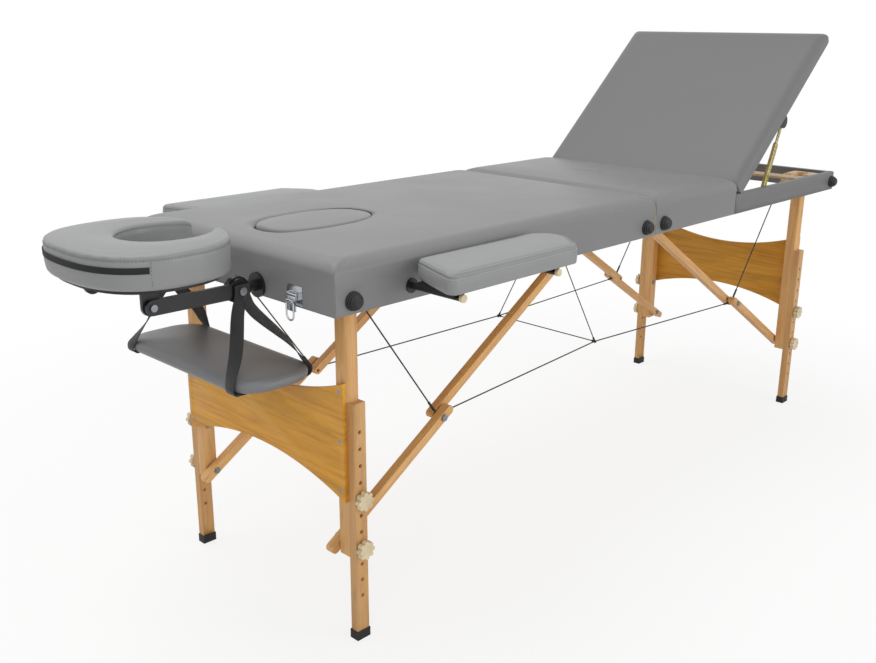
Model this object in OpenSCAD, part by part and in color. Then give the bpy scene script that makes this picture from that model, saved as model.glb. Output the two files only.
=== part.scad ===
// Folding massage table: two hinged halves on folding beech legs, a lift-up backrest,
// a face cradle with an arm sling, and two plug-in armrests.
// X runs from the head end to the foot end, Y to the far side and Z up from the floor.
// The origin is on the floor, midway between the face pillow's tip and the foot end.

/* [Top] */
// Length of the top from the head end to the foot end
top_len = 1860; // [1760:10:1960]
// Width of the top
top_w = 600; // [590:5:700]
// Height of the frame's underside above the floor
frame_z = 646; // [636:2:700]
// Height of the frame boards with the deck
board_h = 50; // [48:1:60]
// Thickness of the side and end boards
board_t = 15; // [13:0.5:15]
// Thickness of the two boards that meet at the fold
fold_board_t = 18; // [12:1:24]
// Thickness of the plywood deck
deck_t = 3; // [3:0.5:5]
// Thickness of the deck's cross slats
slat_t = 5.5; // [4:0.5:6]
// Width of a cross slat
slat_w = 50; // [40:2:56]
// Thickness of the vinyl cover
cover_t = 1.5; // [1:0.1:1.5]
// Gap between each half and the fold plane
fold_gap = 0.25; // [0.2:0.05:0.5]

/* [Cushions] */
// Thickness of the top cushions
pad_t = 43; // [36:1:48]
// Radius of the cushions' upper edges
pad_edge_r = 15; // [8:1:20]
// Radius of the cushions' corners seen from above
pad_corner_r = 14; // [8:1:24]
// Rise of a cushion's middle above its edges
pad_crown = 4; // [1:0.5:8]
// How far a cushion's long sides draw in
pad_draw = 1.5; // [0:0.5:4]
// Length of the seat section
seat_len = 362; // [350:2:380]

/* [Face hole] */
// Length of the oval plug in the head cushion
plug_len = 248; // [180:4:260]
// Width of the oval plug
plug_w = 152; // [100:2:160]
// Distance of the plug's middle from the head end
plug_u = 206; // [190:2:260]
// Gap round the plug
plug_gap = 1.2; // [0.8:0.1:2]
// Rise of the plug above the cushion
plug_rise = 3; // [1:0.5:8]
// Space around the breathing hole in the deck, under the plug
plug_seat = 16; // [10:1:24]

/* [Backrest] */
// Thickness of the backrest with its board
back_t = 44; // [40:1:48]
// Length of the backrest from its hinge axis
back_len = 530; // [500:5:530]
// Angle of the backrest above the flat
back_tilt = 41.6; // [20:0.2:55]
// Thickness of the backrest's board
back_board_t = 8; // [6:0.5:10]
// Gap between the seat and the backrest
back_gap = 4; // [2:0.5:6]
// Distance of each backrest hinge from the middle
back_hinge_y = 200; // [120:5:230]
// Distance along the backrest to the stay's upper pivot
stay_s = 262; // [240:2:280]
// Depth of the stay's upper pivot below the backrest's middle plane
stay_w = 50; // [44:1:54]
// Distance of the stay's lower end from the foot end
stay_foot_u = 394; // [380:2:400]
// Length of the stay's outer channel
stay_channel_len = 150; // [120:2:160]
// Length of the stay's inner strip
stay_strip_len = 140; // [110:2:150]
// Width of the stay's channel
stay_channel_w = 16; // [14:0.5:18]
// Spacing of the holes along the stay
stay_pitch = 10; // [8:1:14]

/* [Legs] */
// Distance of a leg's middle from the end of the top
leg_u = 77; // [72:1:90]
// Width of a leg along X
leg_a = 28; // [24:1:28]
// Thickness of a post along Y without its round side
post_b = 26; // [22:1:28]
// Thickness of a leg extension along Y
ext_b = 18; // [15:0.5:18]
// Distance of the outer face of a leg from the middle of a top 600 wide
leg_y = 265; // [258:1:265]
// Radius of the post's round side
post_r = 18; // [16:1:24]
// Height of a leg's pivot above the frame's underside
pivot_up = 23; // [23:0.5:25]
// Height of a post's lower end above the floor
post_end_z = 168; // [150:2:176]
// Height of a leg extension's upper end above the floor
ext_top_z = 470; // [440:2:500]
// Spacing of the height holes
hole_pitch = 32.5; // [30:0.5:34]
// Height of the lowest height hole above the floor
hole_z = 91; // [80:1:95]
// Number of height holes
hole_n = 11; // [9:1:11]
// Height of the foot caps
cap_h = 18; // [12:1:24]

/* [End panels] */
// Thickness of an end panel
panel_t = 8; // [5:0.5:8]
// Height of an end panel's upper corners
panel_top_z = 506; // [480:2:530]
// Height of an end panel's lower corners
panel_bottom_z = 280; // [260:2:300]
// Dip of the panel's upper edge
panel_dip = 48; // [20:2:60]
// Rise of the panel's lower edge
panel_arch = 46; // [20:2:60]

/* [Struts] */
// Height of a strut in its swinging plane
strut_h = 18; // [14:0.5:18]
// Thickness of a strut along Y
strut_b = 18; // [14:0.5:18]
// Distance of the upper strut's pivot from the end of the top
strut_u = 846; // [840:1:850]
// Height of the upper strut's pivot above the leg's pivot
strut_up = 3; // [3:0.5:4]
// Gap between the two struts, where the cable's loop sits
strut_gap = 6; // [5:0.5:6]
// Thickness of the washer between the post and the lower strut
washer_t = 4; // [3:0.5:4]

/* [Knobs] */
// Outer radius of a knob
knob_r = 18; // [14:0.5:18]
// Number of a knob's lobes
knob_lobes = 8; // [6:1:8]
// Thickness of a knob's head
knob_t = 10; // [8:0.5:10.5]

/* [Face cradle] */
// Reach of the face pillow beyond the head end
cradle_reach = 303; // [290:1:330]
// Width of the face pillow
pillow_w = 320; // [300:2:340]
// Width of the pillow's opening
pillow_gap = 152; // [140:2:164]
// Distance from the pillow's front to its opening
pillow_front = 101; // [92:1:110]
// Gap between the pillow's two ends
pillow_mouth = 48; // [36:2:60]
// Thickness of the face pillow
pillow_t = 62; // [50:1:70]
// Distance of the pillow's open end from the head end
pillow_end = 40; // [38:1:60]
// Height of the pillow's underside above the frame's underside
pillow_up = 60; // [57:0.5:64]
// Distance of a cradle rod from the middle
rod_y = 93; // [85:1:100]
// Radius of a cradle rod
rod_r = 10; // [8:0.5:11]
// Distance of the cradle's joint from the head end
joint_u = 45; // [42:1:50]
// Distance of the arms' front bolts from the head end
arm_u = 210; // [190:2:220]

/* [Arm sling] */
// Length of the sling's board along Y
sling_len = 400; // [380:5:430]
// Width of the sling's board along X
sling_w = 162; // [150:2:162]
// Thickness of the sling's board
sling_t = 22; // [16:1:26]
// Height of the sling board's underside
sling_z = 509; // [500:1:560]
// Width of the webbing
strap_w = 25; // [20:1:30]
// Thickness of the webbing
strap_t = 1.6; // [1.2:0.1:2]
// Distance of the webbing from the middle of the board
strap_y = 160; // [150:2:170]

/* [Armrests] */
// Length of an armrest pad
arm_len = 376; // [360:2:400]
// Width of an armrest pad
arm_w = 124; // [110:2:130]
// Thickness of an armrest pad
arm_t = 38; // [30:1:40]
// Distance of an armrest's head-side end from the head end
arm_start = 124; // [120:2:150]
// Gap between the table's side and an armrest pad
arm_gap = 14; // [12:1:24]
// Height of the pads' underside above the frame's underside
arm_up = 38; // [36:0.5:40]
// Radius of an armrest peg
peg_r = 6; // [5:0.5:7]

/* [Cables] */
// Radius of the steel cables in their black sleeve
cable_r = 1.5; // [1:0.1:1.5]
// Height of the cable net's two joints above the floor
cable_z = 363; // [350:1:380]
// Distance of the cable net's joints from the middle
cable_y = 154; // [140:1:160]

/* [Hidden] */

$fn = 48;
small_fn = 24;
hex_fn = 6;
fit = 0.05;
seam_gap = 0.2;
clear = 0.3;
over = 1;

// Colours of the vinyl, woods, metals and plastics
vinyl = "#8f9092";
vinyl_dark = "#6d6e70";
beech = "#cfa06c";
pine = "#d6a64a";
birch = "#d9bd8c";
ply = "#c9a878";
black = "#1b1b1d";
cream = "#e4d5b6";
chrome = "#c9ccd0";
zinc = "#a99a55";
steel = "#9a9da1";

// Main places along X, measured in the table's own frame
head_x = (cradle_reach - top_len) / 2;
foot_x = head_x + top_len;
half_len = top_len / 2;
fold_x = head_x + half_len;

// Places that keep their distance to the sides and to the fold when the top's size changes
ref_w = 600;
ref_len = 1860;
side_shift = (top_w - ref_w) / 2;
end_shift = (top_len - ref_len) / 2;
leg_side = leg_y + side_shift;
strut_end_u = strut_u + end_shift;
hinge_side = back_hinge_y + side_shift;
cable_side = cable_y + side_shift;

// Main heights and widths of the frame
rail_z = frame_z + board_h;
deck_z = rail_z - deck_t;
slat_z = deck_z - slat_t;
board_y = top_w / 2 - cover_t;
board_in = board_y - board_t;
pivot_z = frame_z + pivot_up;

// Backrest axis, measured from the foot end
seat_end_u = half_len - seat_len;
back_u = seat_end_u - back_gap - back_t / 2;
back_z = rail_z + back_t / 2 + clear;

// Leg faces along Y on the near side, counted inwards from the outer face
ext_in = leg_side - ext_b;
post_in = ext_in - post_b;
post_arc_y = ext_in - sqrt(pow(post_r, 2) - pow(leg_a / 2, 2));
post_crown = post_arc_y + post_r;
lower_out = post_in - washer_t;
lower_in = lower_out - strut_b;
upper_out = lower_in - strut_gap;
upper_in = upper_out - strut_b;
cable_plane = lower_in - strut_gap / 2;

// Holes that the two knobs of a leg use, counted from the floor
knob_low = 3;
knob_high = 6;
bolt_r = 3.5;
hole_r = 3.8;
strut_foot_z = hole_z + knob_low * hole_pitch;
knob_high_z = hole_z + knob_high * hole_pitch;

// Linkage: the strut pair is straight in use and lies along the frame when the leg is folded,
// where the upper strut points up a little towards its knee
strut_end_rise = 0.4;
strut_top_z = pivot_z + strut_up;
link_run = strut_end_u - leg_u;
link_rise = strut_top_z - strut_foot_z;
link_len = sqrt(pow(link_run, 2) + pow(link_rise, 2));
link_angle = atan2(link_rise, link_run);
fold_run = link_run - (pivot_z - strut_foot_z);
fold_gap_len = sqrt(pow(fold_run, 2) + pow(strut_up, 2));
fold_cos = cos(strut_end_rise + atan2(strut_up, fold_run));
upper_len = (pow(link_len, 2) - pow(fold_gap_len, 2)) / (2 * (link_len - fold_gap_len * fold_cos));
lower_len = link_len - upper_len;
knee_u = leg_u + lower_len * cos(link_angle);
knee_z = strut_foot_z + lower_len * sin(link_angle);
strut_tail = 34;
strut_knee_tail = 30;

// Small parts of the legs
pivot_bolt_r = 4;
bolt_head_r = 7;
bolt_head_t = 4;
nut_r = 7;
nut_t = 4;
thin_nut_t = 3.5;
cap_wall = 1.5;
cap_floor = 4;
block_w = 58;
block_in = 191 + side_shift;
block_wall_u = leg_u - leg_a / 2 - clear;
block_round = 16;
strut_block_w = 40;
strut_block_b = 24;
screw_r = 2.2;
screw_head_r = 4.2;
screw_head_t = 1.6;
screw_len = 18;
screw_y = 236 + side_shift;
screw_z_shares = [0.075, 0.49, 0.905];

// Places of the slats, clear of the folded knobs and feet
slat_in = 8;
slat_u = [140, 385];
seat_slat_u = seat_end_u + slat_in;

// Small parts of the frame
leaf_w = 30;
leaf_len = 70;
leaf_t = 2;
knuckle_r = 4;
knuckle_pin_r = 2;
knuckle_n = 5;
leaf_y = 150 + side_shift;
knuckle_z = frame_z - knuckle_r - clear;
eye_r = 5;
eye_wire_r = 1.4;
eye_y = 12;
cable_eye_u = leg_u + block_w / 2 + 2 * eye_r;
cable_eye_z = frame_z + 18;
bumper_r = 16.5;
bumper_h = 16;
bumper_z = frame_z + 23;
bumper_head_u = 38;
bumper_foot_u = 18;
bumper_fold_u = 36;
bumper_rib = 1.2;

// Latches on the head end and their catches on the foot end
latch_y = 198 + side_shift;
latch_z = 667;
latch_plate_w = 40;
latch_plate_h = 34;
latch_plate_t = 1.6;
latch_ear_t = 2;
latch_ear_h = 12;
latch_ear_out = 9;
latch_pin_r = 1.8;
latch_pin_out = 6.5;
latch_lever_w = 24;
latch_lever_len = 26;
latch_lever_t = 2;
bail_w = 22;
bail_len = 34;
bail_r = 1.6;
bail_drop = 9;
bail_out = 12.4;
catch_w = 30;
catch_h = 18;
catch_out = 10;

// Sockets
socket_flange_r = 22;
socket_flange_t = 5;
socket_r = 14;
socket_len = 60;
arm_socket_r = 9;
arm_flange_r = 13;
arm_flange_t = 3;
arm_peg_u = [46, 298];
peg_z = frame_z + 25;

// Backrest hinge and stays
ear_t = 3;
ear_r = 8;
ear_gap = 0.4;
ear_pin_r = 3.95;
ear_bore_r = 4;
ear_arm = 4.5;
ear_len = 38;
ear_foot_w = 12;
pocket_w = 12;
pocket_top = 13;
stay_y = 277 + side_shift;
stay_lip_t = 1.5;
stay_web_t = 1.5;
stay_depth = 7;
strip_t = 3;
strip_w = 11;
stay_hole_r = 2.1;
stay_pin_r = 3;
stay_plate_t = 2;
stay_plate_w = 34;
stay_end_r = 8;
back_round_y = 3;

// Upper pivot of the stay in the table's frame, seen from the side
stay_run = stay_s * cos(back_tilt) + stay_w * sin(back_tilt);
stay_rise = stay_s * sin(back_tilt) - stay_w * cos(back_tilt);
stay_top_x = foot_x - back_u + stay_run;
stay_top_z = back_z + stay_rise;
stay_foot_x = foot_x - stay_foot_u;
stay_foot_z = frame_z + 19;
stay_angle = atan2(stay_top_z - stay_foot_z, stay_top_x - stay_foot_x);
stay_len = sqrt(pow(stay_top_x - stay_foot_x, 2) + pow(stay_top_z - stay_foot_z, 2));

// Face cradle
joint_x = head_x - joint_u;
joint_z = frame_z + 19;
arm_bolt_x = head_x - arm_u;
arm_bolt_z = frame_z + 21;
rod_out = 12;
disc_r = 23;
disc_t = 11;
arm_plate_t = 7;
arm_h = 26;
arm_end_r = 14;
base_t = 6;
base_inset = 14;
base_tab_w = 30;
base_tab_t = 7;
cradle_bolt_r = 4;
lever_len = 58;
lever_h = 12;
lever_t = 8;
lever_hub_r = 10;
pillow_z = frame_z + pillow_up;
pillow_rx = (cradle_reach - pillow_end) / 2;
pillow_x = head_x - cradle_reach + pillow_rx;
hole_past = 4;
hole_rx = (cradle_reach - pillow_front - pillow_end + hole_past) / 2;
hole_x = head_x - cradle_reach + pillow_front + hole_rx;
pillow_turn = 180 - asin(pillow_mouth / pillow_gap);
pillow_tip_turn = 19;
pillow_square = 0.8;
pillow_power_share = 0.62;
base_end_u = 60;

// Arm sling
sling_u = 32;
sling_x = head_x - sling_u;
sling_corner_r = 58;
strap_apex_y = rod_y + disc_t / 2 + arm_plate_t + 4;
strap_gap = 0.4;

// Armrests
arm_corner_r = 14;
arm_edge_r = 9;
arm_slant = 46;
arm_nose = [28, 26];
arm_cut = [45, 62];
arm_plate_h = 6;
arm_plate_w = 26;
nub_r = 7;
nub_t = 6;
nub_in = 14;

// Knobs
knob_collar_r = 10;
knob_collar_t = 5.2;
knob_lobe_r = 4.6;
knob_dip_r = 3.2;
washer_r = 8;

// Cushion meshes: points to a corner, points along an edge, rings on the side and the top
corner_n = 4;
edge_n = 4;
side_n = 4;
crown_rings_shares = [0.93, 0.8, 0.6, 0.35];
side_bulge_share = 0.35;

// Places in a half: u runs from the half's own end to the fold
module head_half() {
    translate([head_x, 0, 0]) children();
}

module foot_half() {
    translate([foot_x, 0, 0]) mirror([1, 0, 0]) children();
}

module both_sides() {
    children();
    mirror([0, 1, 0]) children();
}

// A cylinder along Y from y = a to y = b
module y_rod(r, a, b, fn = small_fn) {
    translate([0, max(a, b), 0]) rotate([90, 0, 0]) cylinder(r = r, h = abs(b - a), $fn = fn);
}

// A cylinder along X from x = a to x = b
module x_rod(r, a, b, fn = small_fn) {
    translate([min(a, b), 0, 0]) rotate([0, 90, 0]) cylinder(r = r, h = abs(b - a), $fn = fn);
}

// A straight round rod between two points
module rod_between(a, b, r) {
    d = b - a;
    translate(a) rotate([0, acos(d[2] / norm(d)), atan2(d[1], d[0])])
        cylinder(r = r, h = norm(d), $fn = small_fn);
}

// Faces that join a stack of m rings of n points, with a fan over each end
function skin_faces(m, n) = concat(
    [for (j = [0:m - 2], i = [0:n - 1]) [j * n + i, (j + 1) * n + (i + 1) % n, j * n + (i + 1) % n]],
    [for (j = [0:m - 2], i = [0:n - 1]) [j * n + i, (j + 1) * n + i, (j + 1) * n + (i + 1) % n]],
    [for (i = [0:n - 1]) [m * n, i, (i + 1) % n]],
    [for (i = [0:n - 1]) [m * n + 1, (m - 1) * n + (i + 1) % n, (m - 1) * n + i]]);

function mean_point(ring) = [for (k = [0:2]) [for (p = ring) p[k]] * [for (p = ring) 1 / len(ring)]];

// A closed skin over a stack of rings
module skin(rings) {
    polyhedron(points = concat([for (ring = rings) each ring],
            [mean_point(rings[0]), mean_point(rings[len(rings) - 1])]),
        faces = skin_faces(len(rings), len(rings[0])), convexity = 6);
}

// One ring round a cushion: a rectangle with rounded corners whose long sides draw in
function pad_ring(l, w, r, z, draw) = [for (c = [0:3], i = [0:corner_n + edge_n - 1])
    let (
        sx = c == 0 || c == 3 ? 1 : -1,
        sy = c < 2 ? 1 : -1,
        a = 90 * (c + min(i, corner_n) / corner_n),
        f = max(i - corner_n, 0) / edge_n,
        corner = [sx * (l / 2 - r) + r * cos(a), sy * (w / 2 - r) + r * sin(a)],
        run = c % 2 == 0 ? [-sx * (l - 2 * r), 0] : [0, -sy * (w - 2 * r)],
        pull = c % 2 == 0 ? [0, -sy * draw] : [-sx * draw, 0],
        p = corner + f * run + sin(180 * f) * pull)
    [p[0], p[1], z]];

// A cushion that stands on z = 0: sides bulge a little, edges are round and the top is crowned
module pad(l, w, t, r, edge, crown, draw) {
    top = t - crown;
    side = [for (k = [0:side_n]) let (a = 90 * k / side_n)
        [edge * (1 - cos(a)), top - edge + edge * sin(a)]];
    skin(concat(
        [pad_ring(l - edge * side_bulge_share, w - edge * side_bulge_share, r, 0, draw)],
        [pad_ring(l, w, r, edge * side_bulge_share, draw)],
        [for (s = side) pad_ring(l - 2 * s[0], w - 2 * s[0], max(r - s[0] / 2, edge / 2), s[1], draw)],
        [for (k = crown_rings_shares) pad_ring((l - 2 * edge) * k, (w - 2 * edge) * k, edge / 2 * k,
            top + crown * (1 - pow(k, 2)), draw * k)]));
}

// An upright oval slab standing on z = 0
module oval(l, w, h) {
    linear_extrude(height = h) polygon([for (p = oval_ring(l, w, 0)) [p[0], p[1]]]);
}

// A flat bar in the XZ plane from p to q with round ends, between y = a and y = b
module bar(p, q, w, a, b, tail_p = 0, tail_q = 0) {
    d = q - p;
    len = norm(d);
    translate([p[0], 0, p[1]]) rotate([0, -atan2(d[1], d[0]), 0]) {
        translate([-tail_p, min(a, b), -w / 2]) cube([len + tail_p + tail_q, abs(b - a), w]);
        translate([-tail_p, 0, 0]) y_rod(w / 2, a, b);
        translate([len + tail_q, 0, 0]) y_rod(w / 2, a, b);
    }
}

// Frame of one half: four boards, slats and the deck, which starts at deck_from
module half_frame(deck_from, slats) {
    inner = board_in - fit;
    board_top = deck_z - fit;
    color(birch) difference() {
        union() {
            both_sides() translate([cover_t, -board_y, frame_z])
                cube([half_len - fold_gap - cover_t, board_t, board_top - frame_z]);
            translate([cover_t, -inner, frame_z]) cube([board_t, 2 * inner, board_top - frame_z]);
            translate([half_len - fold_gap - fold_board_t, -inner, frame_z])
                cube([fold_board_t, 2 * inner, board_top - frame_z]);
            for (u = slats) translate([u, -inner, slat_z]) cube([slat_w, 2 * inner, board_top - slat_z]);
            translate([deck_from, -board_y, deck_z])
                cube([half_len - fold_gap - deck_from, 2 * board_y, deck_t]);
            if (deck_from > cover_t) rail_caps(deck_from);
        }
        children();
    }
}

// Strips that bring the foot rails level with the deck, under the cover; each joins its board
module rail_caps(deck_from) {
    inner = board_in - fit;
    z = deck_z - 2 * fit;
    h = deck_t - cover_t + 2 * fit;
    both_sides() translate([cover_t, -board_y, z]) cube([deck_from - cover_t - fit, board_t, h]);
    translate([cover_t, -inner, z]) cube([board_t, 2 * inner, h]);
}

module head_frame() {
    head_half() half_frame(cover_t, slat_u) {
        both_sides() translate([0, rod_y, joint_z]) x_rod(socket_r + fit, 0, socket_len);
        both_sides() for (u = arm_peg_u) translate([arm_start + u, 0, peg_z])
            y_rod(arm_socket_r + fit, board_in - over, board_y + over);
        translate([plug_u, 0, slat_z - over]) oval(plug_len - 2 * plug_seat, plug_w - 2 * plug_seat,
            board_h);
    }
}

module foot_frame() {
    foot_half() half_frame(seat_end_u, [slat_u[0], seat_slat_u]);
}

// Cover turned down over the outside of a half's boards
module skirt(u_end) {
    difference() {
        translate([0, -top_w / 2, frame_z]) cube([u_end, top_w, board_h - seam_gap]);
        translate([cover_t - seam_gap / 4, -board_y - seam_gap / 4, frame_z - over])
            cube([u_end, 2 * board_y + seam_gap / 2, board_h + 2 * over]);
        children();
    }
}

module head_cushion() {
    color(vinyl) {
        head_half() translate([(half_len - fold_gap) / 2, 0, rail_z + fit]) difference() {
            pad(half_len - fold_gap, top_w, pad_t, pad_corner_r, pad_edge_r, pad_crown, pad_draw);
            translate([plug_u - (half_len - fold_gap) / 2, 0, -over])
                oval(plug_len, plug_w, pad_t + 2 * over);
        }
        head_half() skirt(half_len - fold_gap) {
            both_sides() translate([0, rod_y, joint_z]) x_rod(socket_r + fit, -over, socket_len);
            both_sides() for (u = arm_peg_u) translate([arm_start + u, 0, peg_z])
                y_rod(arm_socket_r + fit, board_in, top_w / 2 + over);
        }
    }
}

module seat_cushion() {
    color(vinyl) foot_half() {
        translate([half_len - fold_gap - seat_len / 2, 0, rail_z + fit])
            pad(seat_len - fold_gap, top_w, pad_t, pad_corner_r, pad_edge_r, pad_crown, pad_draw);
        skirt(half_len - fold_gap);
        rail_cover();
    }
}

// Cover over the tops and inner faces of the foot rails, beyond the seat; it joins the skirt
module rail_cover() {
    inner = board_in - cover_t;
    top_u = seat_end_u - cover_t;
    half_cover = cover_t / 2;
    z = rail_z - cover_t + fit;
    both_sides() translate([half_cover, -board_y - half_cover, z])
        cube([top_u - half_cover, board_t + half_cover - fit, cover_t - fit]);
    translate([half_cover, -board_y, z]) cube([board_t + cover_t, 2 * board_y, cover_t - fit]);
    translate([cover_t + board_t + fit, -inner, frame_z]) cube([cover_t - fit, 2 * inner, board_h]);
}

// Leg hinge block: two cheeks round the post's top, screwed to the side board and the deck
module leg_block() {
    color(beech) difference() {
        translate([leg_u - block_w / 2, -board_in, frame_z])
            cube([block_w, board_in - block_in, deck_z - frame_z]);
        translate([block_wall_u, -post_crown - clear, frame_z - over])
            cube([block_w, post_crown - post_in + 2 * clear, board_h + 2 * over]);
        translate([leg_u, 0, pivot_z]) y_rod(pivot_bolt_r + fit, -board_in - over, -block_in + over);
        translate([leg_u, 0, pivot_z]) y_rod(bolt_head_r + clear, -board_in - over,
            -board_in + bolt_head_t + clear);
        translate([leg_u - block_w / 2 - over, -block_in - block_round, deck_z - block_round])
            difference() {
                cube([block_w + 2 * over, block_round + over, block_round + over]);
                x_rod(block_round, -over, block_w + 3 * over);
            }
    }
}

// Block that carries the upper strut's pivot, next to the fold board
module strut_block() {
    color(beech) difference() {
        translate([strut_end_u - strut_block_w / 2, -upper_in + clear, frame_z])
            cube([strut_block_w, strut_block_b, deck_z - frame_z]);
        translate([strut_end_u, 0, strut_top_z]) y_rod(pivot_bolt_r + fit, -board_in, 0);
    }
}

module half_blocks() {
    both_sides() {
        leg_block();
        strut_block();
    }
}

// Leg pivot bolt, with its head in the outer cheek and its nut on the inner one
module leg_bolt() {
    translate([leg_u, 0, pivot_z]) {
        y_rod(pivot_bolt_r, -board_in + clear, -block_in + nut_t + over);
        y_rod(bolt_head_r, -board_in + clear, -board_in + bolt_head_t);
        y_rod(nut_r, -block_in, -block_in + nut_t, hex_fn);
    }
}

// Bolt through the upper strut and its block
module strut_bolt() {
    inner = -upper_in + clear + strut_block_b;
    translate([strut_end_u, 0, strut_top_z]) {
        y_rod(pivot_bolt_r, -upper_out - nut_t, inner + nut_t + over);
        y_rod(bolt_head_r, -upper_out - nut_t, -upper_out - clear);
        y_rod(nut_r, inner, inner + nut_t, hex_fn);
    }
}

// One leaf of the centre hinge on its board, carrying every second knuckle from first on
module hinge_leaf(first) {
    seg = leaf_len / knuckle_n;
    both_sides() translate([half_len, -leaf_y - leaf_len / 2, 0]) {
        translate([-leaf_w, 0, frame_z - leaf_t]) cube([leaf_w - knuckle_r - 2 * clear, leaf_len, leaf_t]);
        for (k = [first:2:knuckle_n - 1]) translate([0, k * seg + fit, 0]) difference() {
            union() {
                translate([-knuckle_r - 3 * clear, 0, frame_z - leaf_t])
                    cube([knuckle_r + 2 * clear, seg - 2 * fit, leaf_t - clear]);
                translate([0, 0, knuckle_z]) y_rod(knuckle_r, 0, seg - 2 * fit);
            }
            translate([0, 0, knuckle_z]) y_rod(knuckle_pin_r + fit, -over, seg + over);
        }
    }
}

// Screw eye under the frame, with its shank pointing up
module cable_eye() {
    rotate([90, 0, 0]) rotate_extrude($fn = small_fn) translate([eye_r, 0])
        circle(r = eye_wire_r, $fn = small_fn);
    translate([0, 0, eye_r]) cylinder(r = eye_wire_r, h = eye_r, $fn = small_fn);
}

// Base of a draw latch: a plate with two ears that hold the lever's pin
module latch_base() {
    translate([-latch_plate_t, -latch_plate_w / 2, -latch_plate_h / 2])
        cube([latch_plate_t, latch_plate_w, latch_plate_h]);
    both_sides() translate([-latch_ear_out, latch_lever_w / 2 + clear, -latch_ear_h / 2])
        cube([latch_ear_out - latch_plate_t, latch_ear_t, latch_ear_h]);
    translate([-latch_pin_out, 0, 0])
        y_rod(latch_pin_r, -latch_lever_w / 2 - latch_ear_t, latch_lever_w / 2 + latch_ear_t);
}

// Hooked plate that a latch's bail catches when the table is closed
module latch_catch() {
    difference() {
        translate([-catch_out, -catch_w / 2, -catch_h / 2]) cube([catch_out, catch_w, catch_h]);
        translate([-catch_out - over, -catch_w / 2 - over, -catch_h / 2 + latch_ear_t])
            cube([catch_out - latch_ear_t + over, catch_w + 2 * over, catch_h]);
    }
    translate([-catch_out, -catch_w / 2, -catch_h / 2]) cube([latch_ear_t, catch_w, catch_h / 2]);
}

module head_hardware() {
    color(steel) head_half() {
        both_sides() {
            leg_bolt();
            strut_bolt();
            translate([cable_eye_u, -cable_plane, cable_eye_z]) rotate([0, -90, 0]) cable_eye();
        }
        hinge_leaf(0);
        both_sides() translate([half_len, 0, knuckle_z])
            y_rod(knuckle_pin_r, -leaf_y - leaf_len / 2, -leaf_y + leaf_len / 2);
        both_sides() translate([half_len - fold_board_t / 2, -eye_y, frame_z - 2 * eye_r])
            rotate([0, 0, 90]) cable_eye();
    }
}

// Base plates of the two draw latches, on the head end
module latch_plates() {
    color(chrome) head_half() both_sides() translate([0, -latch_y, latch_z]) latch_base();
}

module foot_hardware() {
    color(steel) foot_half() {
        both_sides() {
            leg_bolt();
            strut_bolt();
            translate([cable_eye_u, -cable_plane, cable_eye_z]) rotate([0, -90, 0]) cable_eye();
        }
        hinge_leaf(1);
    }
    color(chrome) foot_half() both_sides() translate([0, -latch_y, latch_z]) latch_catch();
}

// Ribbed rubber bumper that stands out of the near side
module bumper() {
    color(black) rotate([90, 0, 0]) rotate_extrude($fn = $fn) polygon([
        [0, 0], [bumper_r, 0], [bumper_r, bumper_h / 6], [bumper_r - bumper_rib, bumper_h / 4],
        [bumper_r - bumper_rib, bumper_h / 2.4], [bumper_r - 2.5 * bumper_rib, bumper_h / 2],
        [bumper_r - 2.5 * bumper_rib, bumper_h / 1.5], [bumper_r - 4.5 * bumper_rib, bumper_h / 1.3],
        [bumper_r - 5 * bumper_rib, bumper_h / 1.1], [bumper_r / 2, bumper_h], [0, bumper_h]]);
}

module head_bumpers() {
    head_half() for (u = [bumper_head_u, half_len - bumper_fold_u])
        translate([u, -top_w / 2, bumper_z]) bumper();
}

module foot_bumpers() {
    foot_half() for (u = [bumper_foot_u, half_len - bumper_fold_u])
        translate([u, -top_w / 2, bumper_z]) bumper();
}

module cradle_sockets() {
    color(black) head_half() both_sides() translate([0, rod_y, joint_z]) difference() {
        union() {
            x_rod(socket_flange_r, -socket_flange_t, 0, $fn);
            x_rod(socket_r, 0, socket_len);
        }
        x_rod(rod_r + fit, -socket_flange_t - over, socket_len + over, $fn);
    }
}

module armrest_sockets() {
    color(black) head_half() both_sides() for (u = arm_peg_u)
        translate([arm_start + u, 0, peg_z]) difference() {
            union() {
                y_rod(arm_flange_r, -top_w / 2 - arm_flange_t, -top_w / 2);
                y_rod(arm_socket_r, -top_w / 2, -board_in);
            }
            y_rod(peg_r + fit, -top_w / 2 - arm_flange_t - over, -board_in + over);
        }
}

// Cable from the frame's underside down to the knee, with a crimp at each end
module end_cable() {
    eye = [cable_eye_u, -cable_plane, cable_eye_z];
    knee = [knee_u, -cable_plane, knee_z];
    pull = (eye - knee) / norm(eye - knee);
    from = knee + pull * (pivot_bolt_r + clear);
    top = eye - pull * (eye_r + eye_wire_r + clear);
    rod_between(from, top, cable_r);
    rod_between(from, from + pull * strut_h * 2, cable_r + clear);
}

module half_cables() {
    color(black) both_sides() end_cable();
}

// Cables between the knees and up to the fold, with their two joints
module centre_cables() {
    color(black) both_sides() {
        c = [fold_x, -cable_side, cable_z];
        pull = pivot_bolt_r + clear;
        for (side = [-1, 1]) {
            knee = [fold_x + side * (half_len - knee_u), -cable_plane, knee_z];
            along = (c - knee) / norm(c - knee);
            rod_between(knee + along * pull, c, cable_r);
        }
        rod_between(c, [fold_x - fold_board_t / 2, -eye_y, frame_z - 3 * eye_r - eye_wire_r - clear],
            cable_r);
        rod_between(c, [fold_x, 0, cable_z], cable_r);
        translate(c) sphere(r = 2 * cable_r, $fn = small_fn);
    }
}

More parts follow.
